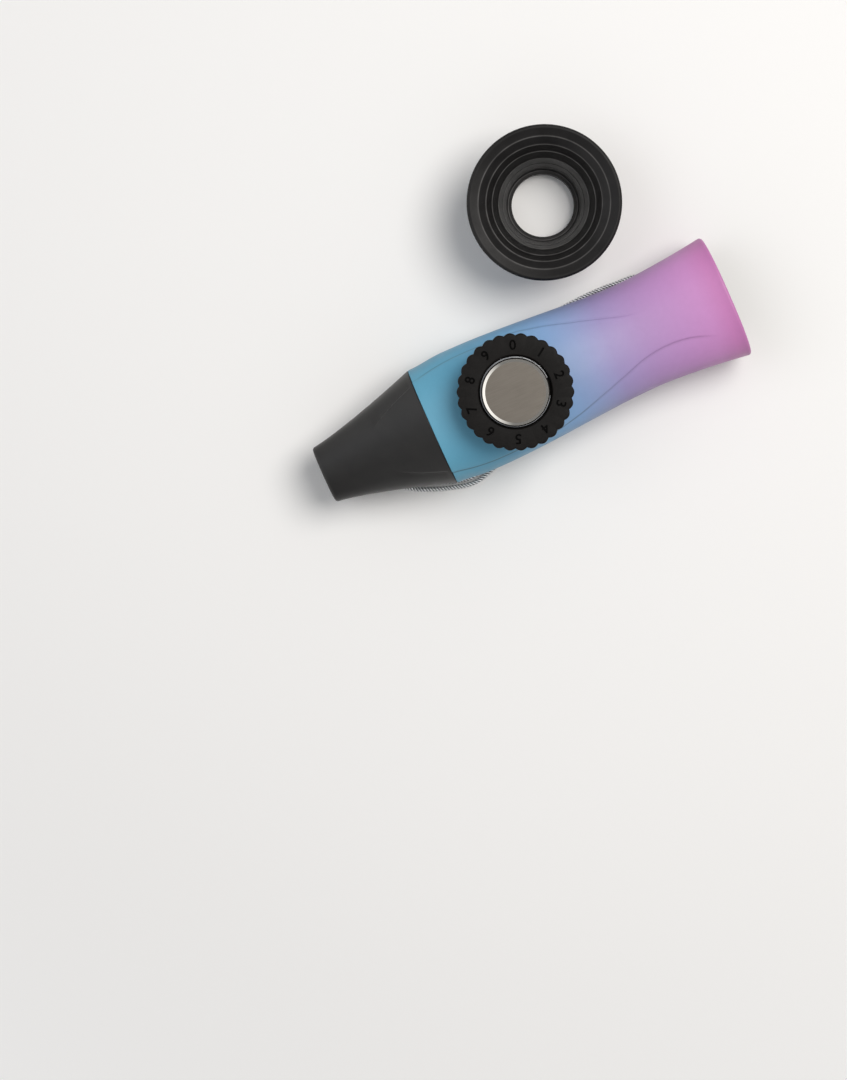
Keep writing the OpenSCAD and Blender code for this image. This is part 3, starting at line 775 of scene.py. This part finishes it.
def mouthpieceGrid():
    # one closed run of rings: the outside from the joint to the tip, round the lip, back along the airway,
    # and over the spigot to the joint again
    m = mouth
    between = np.linspace(m["jointEdge"], m["length"] - m["tipRound"], m["rings"])[1:-1]
    back, inset = roundedRun(0, m["length"], m["jointEdge"], m["tipRound"], between, m["lipSteps"])
    share = taper(back / m["length"])
    halfWidth = mix(m["jointHalf"][0], m["tipHalf"][0], share)
    halfDepth = mix(m["jointHalf"][1], m["tipHalf"][1], share)
    angle, lineColumn = styledAngles(lineAngles(back, halfWidth, mouthLine["path"]))
    outside = sections(m["faceX"] - back, halfWidth - inset, halfDepth - inset, angle)
    depth = {side: fadeAlong(back, mouthLine["fades"][side]) for side in (1, -1)}
    outside = incise(outside, lineColumn, depth, mouthLine)[0]

    even = angle[-1][None, :]
    rounding, boreEnd = m["boreRound"], m["length"] - m["boreRound"]
    corner = np.linspace(0, math.pi / 2, m["lipSteps"])
    within = np.linspace(boreEnd, m["faceX"] - m["spigotRootX"], m["boreRings"])[1:]
    inBack = np.concatenate([boreEnd + rounding * np.cos(corner), within])
    inInset = m["tipWall"] - np.concatenate([rounding * (1 - np.sin(corner)), 0 * within])
    inShare = taper(inBack / m["length"])
    airway = m["spigotR"] - m["spigotWall"] + m["tipWall"]
    inside = sections(m["faceX"] - inBack, mix(airway, m["tipHalf"][0], inShare) - inInset,
                      mix(airway, m["tipHalf"][1], inShare) - inInset, even)

    boreR = m["spigotR"] - m["spigotWall"]
    plugR, endX, (cutIn, cutOut) = m["spigotR"], m["spigotEndX"], m["spigotCuts"]
    grooveFrom, grooveTo = m["sealX"] + m["sealGroove"][0] / 2, m["sealX"] - m["sealGroove"][0] / 2
    grooveR = plugR - m["sealGroove"][1]
    spigot = [(m["spigotRootX"] + m["spigotLap"], boreR), (endX - cutIn, boreR), (endX, boreR + cutIn),
              (endX, plugR - cutOut), (endX - cutOut, plugR), (grooveFrom, plugR), (grooveFrom, grooveR),
              (grooveTo, grooveR), (grooveTo, plugR), (m["faceX"], plugR)]
    x, radius = np.array(spigot).T
    plug = sections(x, radius, radius, even, squareness=2)
    grid = np.concatenate([outside, inside, plug])
    grid[..., 2] = np.maximum(grid[..., 2], 0)
    return grid


def mouldedAbs(name, dark, light, roughLow, roughHigh):
    # Satin injection-moulded ABS: close dark colour, soft highlights, faint flow mottling and skin grease
    return closeFinish(name, {"IOR": 1.53, "Specular IOR Level": 0.35},
                       (5, 5.0, [(0.25, dark), (0.8, light)], 0.6), (3, roughLow, roughHigh),
                       (0.18, 0.015, 0.5))


mouthpiece = solid("mouthpiece_shell", mouthpieceGrid(), closedAlong=True)
dress(mouthpiece, mouldedAbs("satin moulded ABS", "#181717", "#1F1E1D", 0.41, 0.46))
smooth(mouthpiece.data, mouth["sharp"])
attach(mouthpiece, "kazoo")
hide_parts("mouthpiece")
print("mouthpiece made:", len(mouthpiece.data.polygons), "faces")


# Tuning knob: lobed rim, flat face with engraved numbers, stepped bore and an inner thread

knob = {
    "radius": 16.3, "lobes": 30, "lobeDepth": 0.64, "perLobe": 16,
    "bottom": 28.9, "top": 36.3, "faceHole": 10.2,
    "stepTop": 33.05, "stepR": 9.0, "stepBottom": 30.9, "sleeveR": 11.05, "plateZ": 33.8, "skirtR": 14.2,
    "rimRound": 0.55, "holeRound": 0.35, "footRound": 0.35, "skirtRound": 0.2, "sleeveRound": 0.15,
    "innerRound": 0.1, "roundSteps": 6,
    "lobeRoot": 1.6, "lobeBlend": 1.1,      # how far in from the rim the notches end, and fade
    "sharp": 38,
}
dial = {
    # plain numbers cut into the face
    "figures": "0123456789", "radius": 13.05, "height": 2.7, "depth": 0.5, "startAngle": 69.6,
    "capShare": 0.7,        # height of a figure as a share of the type size
    "swell": 0.08,          # thickens each stroke on both sides
    "from": 11, "to": 15.2, # radii between which only the figures lie below the face
    "slack": 0.01, "curveSteps": 5,
}


def knobGrid():
    # a lathed section, less the notches between the lobes: depth * (1 - |cos|), at the rim alone
    k = knob
    r, small = k["radius"], k["innerRound"]
    profile = roundedOutline([
        (k["skirtR"], k["bottom"], k["skirtRound"]), (r, k["bottom"], k["footRound"]),
        (r, k["top"], k["rimRound"]), (k["faceHole"], k["top"], k["holeRound"]),
        (k["faceHole"], k["stepTop"], small), (k["stepR"], k["stepTop"], small),
        (k["stepR"], k["stepBottom"], small), (k["sleeveR"], k["stepBottom"], k["sleeveRound"]),
        (k["sleeveR"], k["plateZ"], small), (k["skirtR"], k["plateZ"], small)], k["roundSteps"])
    steps = k["lobes"] * k["perLobe"]
    notch = k["lobeDepth"] * (1 - np.abs(np.cos(np.linspace(0, math.pi * k["lobes"], steps, endpoint=False))))
    reach = ease(np.clip((profile[:, :1] - (r - k["lobeRoot"])) / k["lobeBlend"], 0, 1))
    return latheGrid(profile, steps, inset=notch * reach)


def dialMesh():
    # Solid figures that reach as far above the face as they cut into it. Each stands with its head
    # outwards, and they go clockwise seen from above.
    d = dial
    points, faces, count = [], [], 0
    for place, figure in enumerate(d["figures"]):
        curve = bpy.data.curves.new("figure", "FONT")
        curve.body = figure
        curve.size = d["height"] / d["capShare"]
        curve.extrude = d["depth"]
        curve.offset = d["swell"]
        curve.resolution_u = d["curveSteps"]
        holder = newPiece("figure", curve)
        bpy.context.view_layer.update()
        flat = bpy.data.meshes.new_from_object(holder.evaluated_get(bpy.context.evaluated_depsgraph_get()))
        own = np.empty(len(flat.vertices) * 3)
        flat.vertices.foreach_get("co", own)
        own = own.reshape(-1, 3)
        own[:, :2] -= (own[:, :2].min(0) + own[:, :2].max(0)) / 2
        angle = math.radians(d["startAngle"] - place * 360 / len(d["figures"]))
        outward = np.array([math.cos(angle), math.sin(angle), 0])
        across = np.array([math.sin(angle), -math.cos(angle), 0])
        up = np.array([0, 0, 1.0])
        points.append((d["radius"] + own[:, 1:2]) * outward + own[:, :1] * across
                      + (knob["top"] + own[:, 2:3]) * up)
        faces += [[count + v for v in face.vertices] for face in flat.polygons]
        count += len(own)
        bpy.data.objects.remove(holder)
        bpy.data.curves.remove(curve)
        bpy.data.meshes.remove(flat)
    mesh = bpy.data.meshes.new("dial_numbers")
    mesh.from_pydata((np.concatenate(points) * toMetres).tolist(), [], faces)
    closePoles(mesh)
    return mesh


def markCuts(piece):
    # the darker second material, with the painted shade, goes on the walls and floors of the cut figures
    x, y, z = faceCentres(piece.data).T
    reach, below, slack = np.hypot(x, y), knob["top"] - z, dial["slack"]
    markFaces(piece, (reach > dial["from"]) & (reach < dial["to"])
              & (below > slack) & (below < dial["depth"] + slack))


def texturedAbs():
    # Black ABS from a spark-eroded mould: dull, with an even fine grain that breaks up the highlights.
    # The mould's grain is 0.15 mm, drawn at 0.2 mm so that it shows.
    return closeFinish("spark-textured moulded ABS", {"IOR": 1.53, "Specular IOR Level": 0.13},
                       (0.5, 3.0, [(0.3, "#100F0E"), (0.75, "#171514")]), (2.5, 0.46, 0.62), (0.2, 0.03, 0.7))


def engravedAbs():
    # The figures' walls and floors: smooth and near-black, which is painted shade in the recesses
    material, tree, shader, place = newMaterial("figure recesses with painted shade", {
        "IOR": 1.53, "Specular IOR Level": 0.05})
    mottledColour(tree, shader, place, 0.6, 2.0, [(0.3, "#030303"), (0.75, "#070606")])
    roughnessNoise(tree, shader, place, 1, 0.5, 0.62)
    return material


knobPiece = solid("knob", knobGrid(), closedAlong=True)
innerThread = {**thread, "threadTurns": thread["knobTurns"]}
knobRidge = threadGrid(thread["knobRootR"], thread["knobCrestR"], thread["knobFromZ"], innerThread)
applyBooleans(knobPiece, [("UNION", solid("knobRidge", knobRidge)),
                          ("DIFFERENCE", newPiece("figures", dialMesh()))])
dress(knobPiece, texturedAbs(), engravedAbs())
markCuts(knobPiece)
smooth(knobPiece.data, knob["sharp"])
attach(knobPiece, "knob")
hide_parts("tuning_knob")
print("knob made:", len(knobPiece.data.polygons), "faces")


# Metal cap: turned and brushed, pushed over the spout

cap = {
    "radius": 9.5, "top": 39.0, "bottom": 33.95, "innerR": 8.95, "plate": 38.45,
    "faceR": 8.4, "bevelR": 9.15, "bevelZ": 38.55, "taperZ": 37.6,      # face, bright bevel, steep taper
    "soft": 0.03, "footRound": 0.05, "skirtRound": 0.12, "plateRound": 0.3, "roundSteps": 5,
    "steps": 160, "sharp": 25,
    # the scratches are 0.05 mm wide, drawn wider so that they show; degrees from X across them
    "scratchWidth": 0.1, "scratchLength": 6, "scratchTurn": 24,
}


def capGrid():
    # a cup's section, carried round its axis: plain side, steep taper, bevel and flat face
    c = cap
    profile = roundedOutline([
        (c["innerR"], c["bottom"], c["footRound"]), (c["radius"], c["bottom"], c["skirtRound"]),
        (c["radius"], c["taperZ"], c["soft"]), (c["bevelR"], c["bevelZ"], c["soft"]),
        (c["faceR"], c["top"], 0), (0, c["top"], 0), (0, c["plate"], 0),
        (c["innerR"], c["plate"], c["plateRound"])], c["roundSteps"])
    return latheGrid(profile, c["steps"])


def brushedSteel(look):
    # Stainless steel brushed one way: an even warm grey with fine straight scratches
    material, tree, shader, place = newMaterial("brushed stainless steel", {"Metallic": 1.0})
    perLength, perWidth = 1 / (look["scratchLength"] * toMetres), 1 / (look["scratchWidth"] * toMetres)
    line = addNode(tree, "ShaderNodeMapping", [
        ("Vector", place), ("Rotation", (0, 0, math.radians(look["scratchTurn"]))),
        ("Scale", (perLength, perWidth, 200))])
    scratch = addNode(tree, "ShaderNodeTexNoise", [("Vector", line.outputs["Vector"]), ("Scale", 1.0),
                                                   ("Detail", 3.0)])
    cloud = addNode(tree, "ShaderNodeTexNoise", [("Vector", place), ("Scale", 1 / (5 * toMetres)),
                                                 ("Detail", 2.0)])
    blend = addNode(tree, "ShaderNodeMath", [(0, cloud.outputs["Fac"]), (1, 0.3),
                                             (2, scratch.outputs["Fac"])], operation="MULTIPLY_ADD")
    ramp = addNode(tree, "ShaderNodeValToRGB", [("Fac", blend.outputs[0])])
    setStops(ramp, [(0.4, "#6B665F"), (0.9, "#7A756E")])
    tree.links.new(ramp.outputs["Color"], shader.inputs["Base Color"])
    rough = addNode(tree, "ShaderNodeMapRange", [("Value", scratch.outputs["Fac"]), ("From Min", 0.3),
                                                 ("From Max", 0.7), ("To Min", 0.4), ("To Max", 0.52)])
    tree.links.new(rough.outputs["Result"], shader.inputs["Roughness"])
    bump = addNode(tree, "ShaderNodeBump", [("Height", scratch.outputs["Fac"]), ("Strength", 0.2),
                                            ("Distance", 0.008 * toMetres)])
    tree.links.new(bump.outputs["Normal"], shader.inputs["Normal"])
    return material


def turnedSteel():
    # The same steel, turned and polished at the edge: bright, with rings left by the lathe's tool
    material, tree, shader, place = newMaterial("turned and polished steel", {"Metallic": 1.0})
    height = addNode(tree, "ShaderNodeSeparateXYZ", [("Vector", place)]).outputs["Z"]
    # the tool left rings 0.08 mm apart
    ring = addNode(tree, "ShaderNodeTexNoise", [("W", height), ("Scale", 1 / (0.08 * toMetres))],
                   noise_dimensions="1D")
    ramp = addNode(tree, "ShaderNodeValToRGB", [("Fac", ring.outputs["Fac"])])
    setStops(ramp, [(0.3, "#C4C0B9"), (0.75, "#D6D3CD")])
    tree.links.new(ramp.outputs["Color"], shader.inputs["Base Color"])
    roughnessNoise(tree, shader, place, 1.5, 0.12, 0.2)
    return material


def markEdge(piece):
    # the second material goes on all but the face
    x, y, z = faceCentres(piece.data).T
    markFaces(piece, ~((np.hypot(x, y) < cap["faceR"]) & (z > cap["top"] - cap["soft"] / 2)))


capPiece = solid("cap_shell", capGrid(), closedAlong=True)
closePoles(capPiece.data)
dress(capPiece, brushedSteel(cap), turnedSteel())
markEdge(capPiece)
smooth(capPiece.data, cap["sharp"])
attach(capPiece, "cap")
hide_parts("metal_cap")
print("cap made:", len(capPiece.data.polygons), "faces")


# Horn: moulded silicone, stepped in rings from the rim to the throat

horn = {
    "centre": (28.9, 44.8), "rimR": 21.8, "throatR": 10, "wall": 1.0, "top": 23.2, "depth": 18,
    "neckInR": 8.95, "neckR": 10.1, "neckTop": 5.2, "neckFoot": 4.2,
    # lips from the rim to the throat, as shares of the flare's width and depth
    "widthShares": (1, 0.79, 0.58, 0.42, 0.25, 0.14, 0.06, 0),
    "depthShares": (0, 0.04, 0.13, 0.27, 0.43, 0.65, 0.82, 1),
    "terraceShares": (0.14, 0.97),  # of the way to the lip before, across and down
    "lipCut": 0.09, "hollowCut": 0.15, "rimCut": 0.2, "neckCuts": (0.1, 0.15, 0.2, 0.15),
    "cutShare": 0.45,               # most of its shorter side that a rounding takes
    "steps": 176, "roundSteps": 5, "sharp": 30,
    "highlightReach": 0.15,                    # how far from a lip the painted highlight reaches, mm
    "highlightStep": 1.6, "highlightLong": 4,   # highlight widths to a point beside a corner, and of a stretch that gets them
}


def hornProfile():
    # corners of the section as (radius, height, rounding), and the lips below the rim
    h = horn
    lipR = mix(h["throatR"], h["rimR"] - h["wall"], np.array(h["widthShares"]))
    lipZ = h["top"] - h["depth"] * np.array(h["depthShares"])
    terraceR = mix(lipR[1:], lipR[:-1], h["terraceShares"][0])
    terraceZ = mix(lipZ[:-1], lipZ[1:], h["terraceShares"][1])
    place = np.empty((2 * len(lipR) - 1, 2))
    place[::2, 0], place[::2, 1] = lipR, lipZ
    place[1::2, 0], place[1::2, 1] = terraceR, terraceZ
    span = np.linalg.norm(np.diff(place, axis=0), axis=1)
    wanted = np.where(np.arange(len(place)) % 2, h["hollowCut"], h["lipCut"])
    shorterSide = np.minimum(np.r_[span[0], span], np.r_[span, span[-1]])
    cut = np.minimum(wanted, h["cutShare"] * shorterSide)
    inner = np.column_stack([place, cut])
    outer = inner[::-1] + [h["wall"], -h["wall"], 0]
    neck = np.column_stack([(h["neckInR"], h["neckInR"], h["neckR"], h["neckR"]),
                            (h["neckTop"], 0, 0, h["neckFoot"]), h["neckCuts"]])
    half = h["wall"] / 2
    rim = [(h["rimR"], h["top"] - half, h["rimCut"]), (h["rimR"] - half, h["top"], h["rimCut"])]
    return np.concatenate([inner, neck, outer, rim]), place[2::2]


def hornMesh():
    # points are added near both ends of each long stretch, so that the painted highlight lines stay narrow
    corners, lips = hornProfile()
    outline = roundedOutline(corners, horn["roundSteps"])
    following = np.roll(outline, -1, 0)
    span = np.linalg.norm(following - outline, axis=1, keepdims=True)
    near = np.minimum(horn["highlightStep"] * horn["highlightReach"] / np.maximum(span, 1e-9), 0.5)
    added = np.stack([outline, mix(outline, following, near), mix(outline, following, 1 - near)], 1)
    isLong = span > horn["highlightLong"] * horn["highlightReach"]
    outline = added[np.concatenate([np.ones_like(isLong), isLong, isLong], 1)]
    mesh = gridMesh("horn_shell", latheGrid(outline, horn["steps"], horn["centre"]), closedAlong=True)
    distance = np.linalg.norm(outline[:, None] - lips[None, :], axis=2).min(1)
    # painted highlight: each point's nearness to a lip, for the silicone's paler colour there
    pointAttribute(mesh, "lipHighlight", np.repeat(np.exp(-(distance / horn["highlightReach"]) ** 2), horn["steps"]))
    return mesh


def siliconeRubber():
    # Moulded silicone: matt and close-grained, with a painted highlight along each lip, and a little lint
    material, tree, shader, place = newMaterial("moulded silicone rubber", {
        "IOR": 1.43, "Specular IOR Level": 0.25})
    cloud, black = mottledColour(tree, shader, place, 4, 5.0, [(0.3, "#161515"), (0.75, "#201F1F")])
    # painted highlight: the lips are paler, where light catches their edges
    lipHighlight = addNode(tree, "ShaderNodeAttribute", attribute_name="lipHighlight").outputs["Fac"]
    patches = addNode(tree, "ShaderNodeMath", [(0, cloud), (1, lipHighlight)], operation="MULTIPLY")
    highlighted = addNode(tree, "ShaderNodeMix", [("Factor", patches.outputs[0]), (6, black),
                                            (7, linearColour("#6C6B6A"))], data_type="RGBA")
    lint = addNode(tree, "ShaderNodeTexVoronoi", [("Vector", place), ("Scale", 1 / (1.7 * toMetres))])
    dot = addNode(tree, "ShaderNodeMapRange", [("Value", lint.outputs["Distance"]), ("From Min", 0.06),
                                               ("From Max", 0.02), ("To Max", 0.15)])
    mixed = addNode(tree, "ShaderNodeMix", [("Factor", dot.outputs["Result"]), (6, highlighted.outputs[2]),
                                            (7, linearColour("#8A8986"))], data_type="RGBA")
    tree.links.new(mixed.outputs[2], shader.inputs["Base Color"])
    roughnessNoise(tree, shader, place, 6, 0.38, 0.5)
    grainBump(tree, shader, place, 0.25, 0.02, 0.5)
    return material


hornPiece = newPiece("horn_shell", hornMesh())
dress(hornPiece, siliconeRubber())
smooth(hornPiece.data, horn["sharp"])
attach(hornPiece, "horn")
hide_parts("horn")
print("horn made:", len(hornPiece.data.polygons), "faces")


# Inner pieces, whose CAD shape is right: each gets its own finish

def plainRubber():
    # Black nitrile rubber: dull and slightly chalky
    return closeFinish("nitrile rubber", {"IOR": 1.52}, (0.8, 4.0, [(0.3, "#29292B"), (0.8, "#3E3E41")]),
                       (1.5, 0.62, 0.8), (0.15, 0.02, 0.6))


def ringPlastic():
    # Punched PET ring: pale, glossy, with the faint lines of its punch
    return closeFinish("punched PET sheet", {"IOR": 1.57}, (2, 3.0, [(0.3, "#CFC9BE"), (0.75, "#DED9CF")]),
                       (1, 0.22, 0.34), (0.4, 0.01, 0.4))


def membraneFilm():
    # Stretched goldbeater-like film: amber-white, glossy and finely wrinkled
    material, tree, shader, place = newMaterial("stretched membrane film", {
        "IOR": 1.5, "Transmission Weight": 0.35})
    mottledColour(tree, shader, place, 3, 4.0, [(0.3, "#E6DCC2"), (0.75, "#F1EBDC")])
    roughnessNoise(tree, shader, place, 1.2, 0.18, 0.32)
    wrinkle = addNode(tree, "ShaderNodeTexWave", [("Vector", place), ("Scale", 0.3 / toMetres),
                                                  ("Distortion", 6.0), ("Detail", 2.0)])
    bump = addNode(tree, "ShaderNodeBump", [("Height", wrinkle.outputs["Fac"]), ("Strength", 0.4),
                                            ("Distance", 0.03 * toMetres)])
    tree.links.new(bump.outputs["Normal"], shader.inputs["Normal"])
    return material


def springSteel():
    # Flat rolled spring steel: bright grey, slightly uneven from the rolls
    return closeFinish("rolled spring steel", {"Metallic": 1.0},
                       (0.3, 3.0, [(0.3, "#8E9196"), (0.75, "#B9BCC0")]), (1, 0.25, 0.4), (0.2, 0.01, 0.5))


def nickelPlate():
    # Nickel-plated brass tube, crimped: bright, with dull handling marks
    return closeFinish("nickel plate", {"Metallic": 1.0}, (0.7, 5.0, [(0.3, "#A9A8A3"), (0.7, "#CFCDC7")]),
                       (0.9, 0.16, 0.36), (0.35, 0.012, 0.5))


rubberFinish = plainRubber()
finishes = {
    "gasket": rubberFinish,
    "mouthpiece_seal": rubberFinish,
    "cap_liner": rubberFinish,
    "membrane_ring": ringPlastic(),
    "membrane_film": membraneFilm(),
    "clamp_ring": mouldedAbs("moulded ABS ring", "#1E1E21", "#2B2B2D", 0.38, 0.52),
    "knob_retainer": springSteel(),
    "lanyard_crimp": nickelPlate(),
}
for name, finish in finishes.items():
    dress(nodes[name], finish)
print("inner pieces finished")


# Floor and light

studio = {
    "floorSize": 3.0, "floorSeen": "#FBFBFA",
    "floorBounce": "#B4B3B0",       # the floor's colour in the light that it throws back
    "overhead": 0.36, "horizon": 0.26,      # the dome's strength
    # the pale wall round the studio: whole up to the first height, gone at the second, where 1 is overhead
    "wallHeights": (0.1, 0.3), "wall": 0.93,
    "fadeFrom": 0.16, "fadeTo": 0.46,       # where the floor fades to the wall's white, m from the middle
    # a white panel: its strength, the side it is on, and the middle and half of its range of heights
    "panel": 1.7, "panelSide": (-0.98, 0.2, 0), "panelHeight": 0.36, "panelHalf": 0.26,
    "panelEdge": 0.9,               # how squarely a direction faces that side where the panel is whole
    # softboxes: place and aim in mm, side in mm, watts, colour
    "lamps": {
        "key": ((470, 110, 880), (0, 0, 15), 620, 6.7, "#FFFBF7"),
        "fill": ((-400, 300, 740), (0, 0, 15), 600, 0.95, "#F4F7FF"),
    },
}


def seenShare(tree):
    # 1 for what is seen, straight, in gloss or through something clear, and 0 for the light
    path = addNode(tree, "ShaderNodeLightPath")
    gloss = addNode(tree, "ShaderNodeMath", [(0, path.outputs["Is Camera Ray"]),
                                             (1, path.outputs["Is Glossy Ray"])], operation="MAXIMUM")
    return addNode(tree, "ShaderNodeMath", [(0, gloss.outputs[0]), (1, path.outputs["Is Transmission Ray"])],
                   operation="MAXIMUM").outputs[0]


def makeFloor():
    half = studio["floorSize"] / 2
    mesh = bpy.data.meshes.new("floor")
    corners = [(-half, -half, 0), (half, -half, 0), (half, half, 0), (-half, half, 0)]
    mesh.from_pydata(corners, [], [(0, 1, 2, 3)])
    floor = newPiece("floor", mesh)
    board, tree, shader, place = newMaterial("painted studio board", {
        "Roughness": 0.7, "Specular IOR Level": 0.2})
    shown = addNode(tree, "ShaderNodeMix", [
        ("Factor", seenShare(tree)), (6, linearColour(studio["floorBounce"])),
        (7, linearColour(studio["floorSeen"]))], data_type="RGBA")
    tree.links.new(shown.outputs[2], shader.inputs["Base Color"])
    away = addNode(tree, "ShaderNodeVectorMath", [(0, place)], operation="LENGTH").outputs["Value"]
    fade = addNode(tree, "ShaderNodeMapRange", [
        ("Value", away), ("From Min", studio["fadeFrom"]), ("From Max", studio["fadeTo"])],
        interpolation_type="SMOOTHSTEP").outputs["Result"]
    faded = addNode(tree, "ShaderNodeMath", [(0, fade), (1, seenShare(tree))], operation="MULTIPLY")
    white = addNode(tree, "ShaderNodeEmission", [("Strength", studio["wall"])])
    blend = addNode(tree, "ShaderNodeMixShader", [(0, faded.outputs[0]), (1, shader.outputs["BSDF"]),
                                                  (2, white.outputs["Emission"])])
    tree.links.new(blend.outputs[0], tree.nodes["Material Output"].inputs["Surface"])
    board.cycles.emission_sampling = "NONE"
    mesh.materials.append(board)


def makeSky():
    # an even dome lights the object; the pale wall and the panel are only seen, straight or in gloss
    world = bpy.data.worlds.new("studio")
    world.use_nodes = True
    tree = world.node_tree
    tree.nodes.clear()
    direction = addNode(tree, "ShaderNodeTexCoord").outputs["Generated"]
    height = addNode(tree, "ShaderNodeSeparateXYZ", [("Vector", direction)]).outputs["Z"]
    dome = addNode(tree, "ShaderNodeMapRange", [("Value", height), ("To Min", studio["horizon"]),
                                                ("To Max", studio["overhead"])]).outputs["Result"]
    white, gone = studio["wallHeights"]
    wall = addNode(tree, "ShaderNodeMapRange", [("Value", height), ("From Min", gone), ("From Max", white),
                                                ("To Max", studio["wall"])],
                   interpolation_type="SMOOTHSTEP").outputs["Result"]
    facing = addNode(tree, "ShaderNodeVectorMath", [(0, direction), (1, studio["panelSide"])],
                     operation="DOT_PRODUCT").outputs["Value"]
    side = addNode(tree, "ShaderNodeMapRange", [("Value", facing), ("From Max", studio["panelEdge"]),
                                                ("To Max", studio["panel"])],
                   interpolation_type="SMOOTHSTEP").outputs["Result"]
    band = addNode(tree, "ShaderNodeMath", [(0, height), (1, studio["panelHeight"]),
                                            (2, studio["panelHalf"])], operation="COMPARE").outputs[0]
    panel = addNode(tree, "ShaderNodeMath", [(0, side), (1, band)], operation="MULTIPLY").outputs[0]
    shown = addNode(tree, "ShaderNodeMath", [(0, wall), (1, panel)], operation="MAXIMUM").outputs[0]
    shown = addNode(tree, "ShaderNodeMath", [(0, shown), (1, dome)], operation="MAXIMUM").outputs[0]
    strength = addNode(tree, "ShaderNodeMix", [("Factor", seenShare(tree)), (2, dome), (3, shown)],
                       data_type="FLOAT")
    light = addNode(tree, "ShaderNodeBackground", [("Color", (1, 1, 1, 1)),
                                                   ("Strength", strength.outputs[0])])
    addNode(tree, "ShaderNodeOutputWorld", [("Surface", light.outputs[0])])
    bpy.context.scene.world = world


def makeLamps():
    for name, (place, aim, side, watts, colour) in studio["lamps"].items():
        data = bpy.data.lights.new(name, "AREA")
        data.shape = "DISK"
        data.size = side * toMetres
        data.energy = watts
        data.color = linearColour(colour)[:3]
        lamp = bpy.data.objects.new(name, data)
        place, aim = Vector(place) * toMetres, Vector(aim) * toMetres
        turned = (aim - place).to_track_quat("-Z", "Y").to_matrix().to_4x4()
        lamp.matrix_world = Matrix.Translation(place) @ turned
        bpy.context.scene.collection.objects.link(lamp)


makeFloor()
makeSky()
makeLamps()
print("floor and light made")
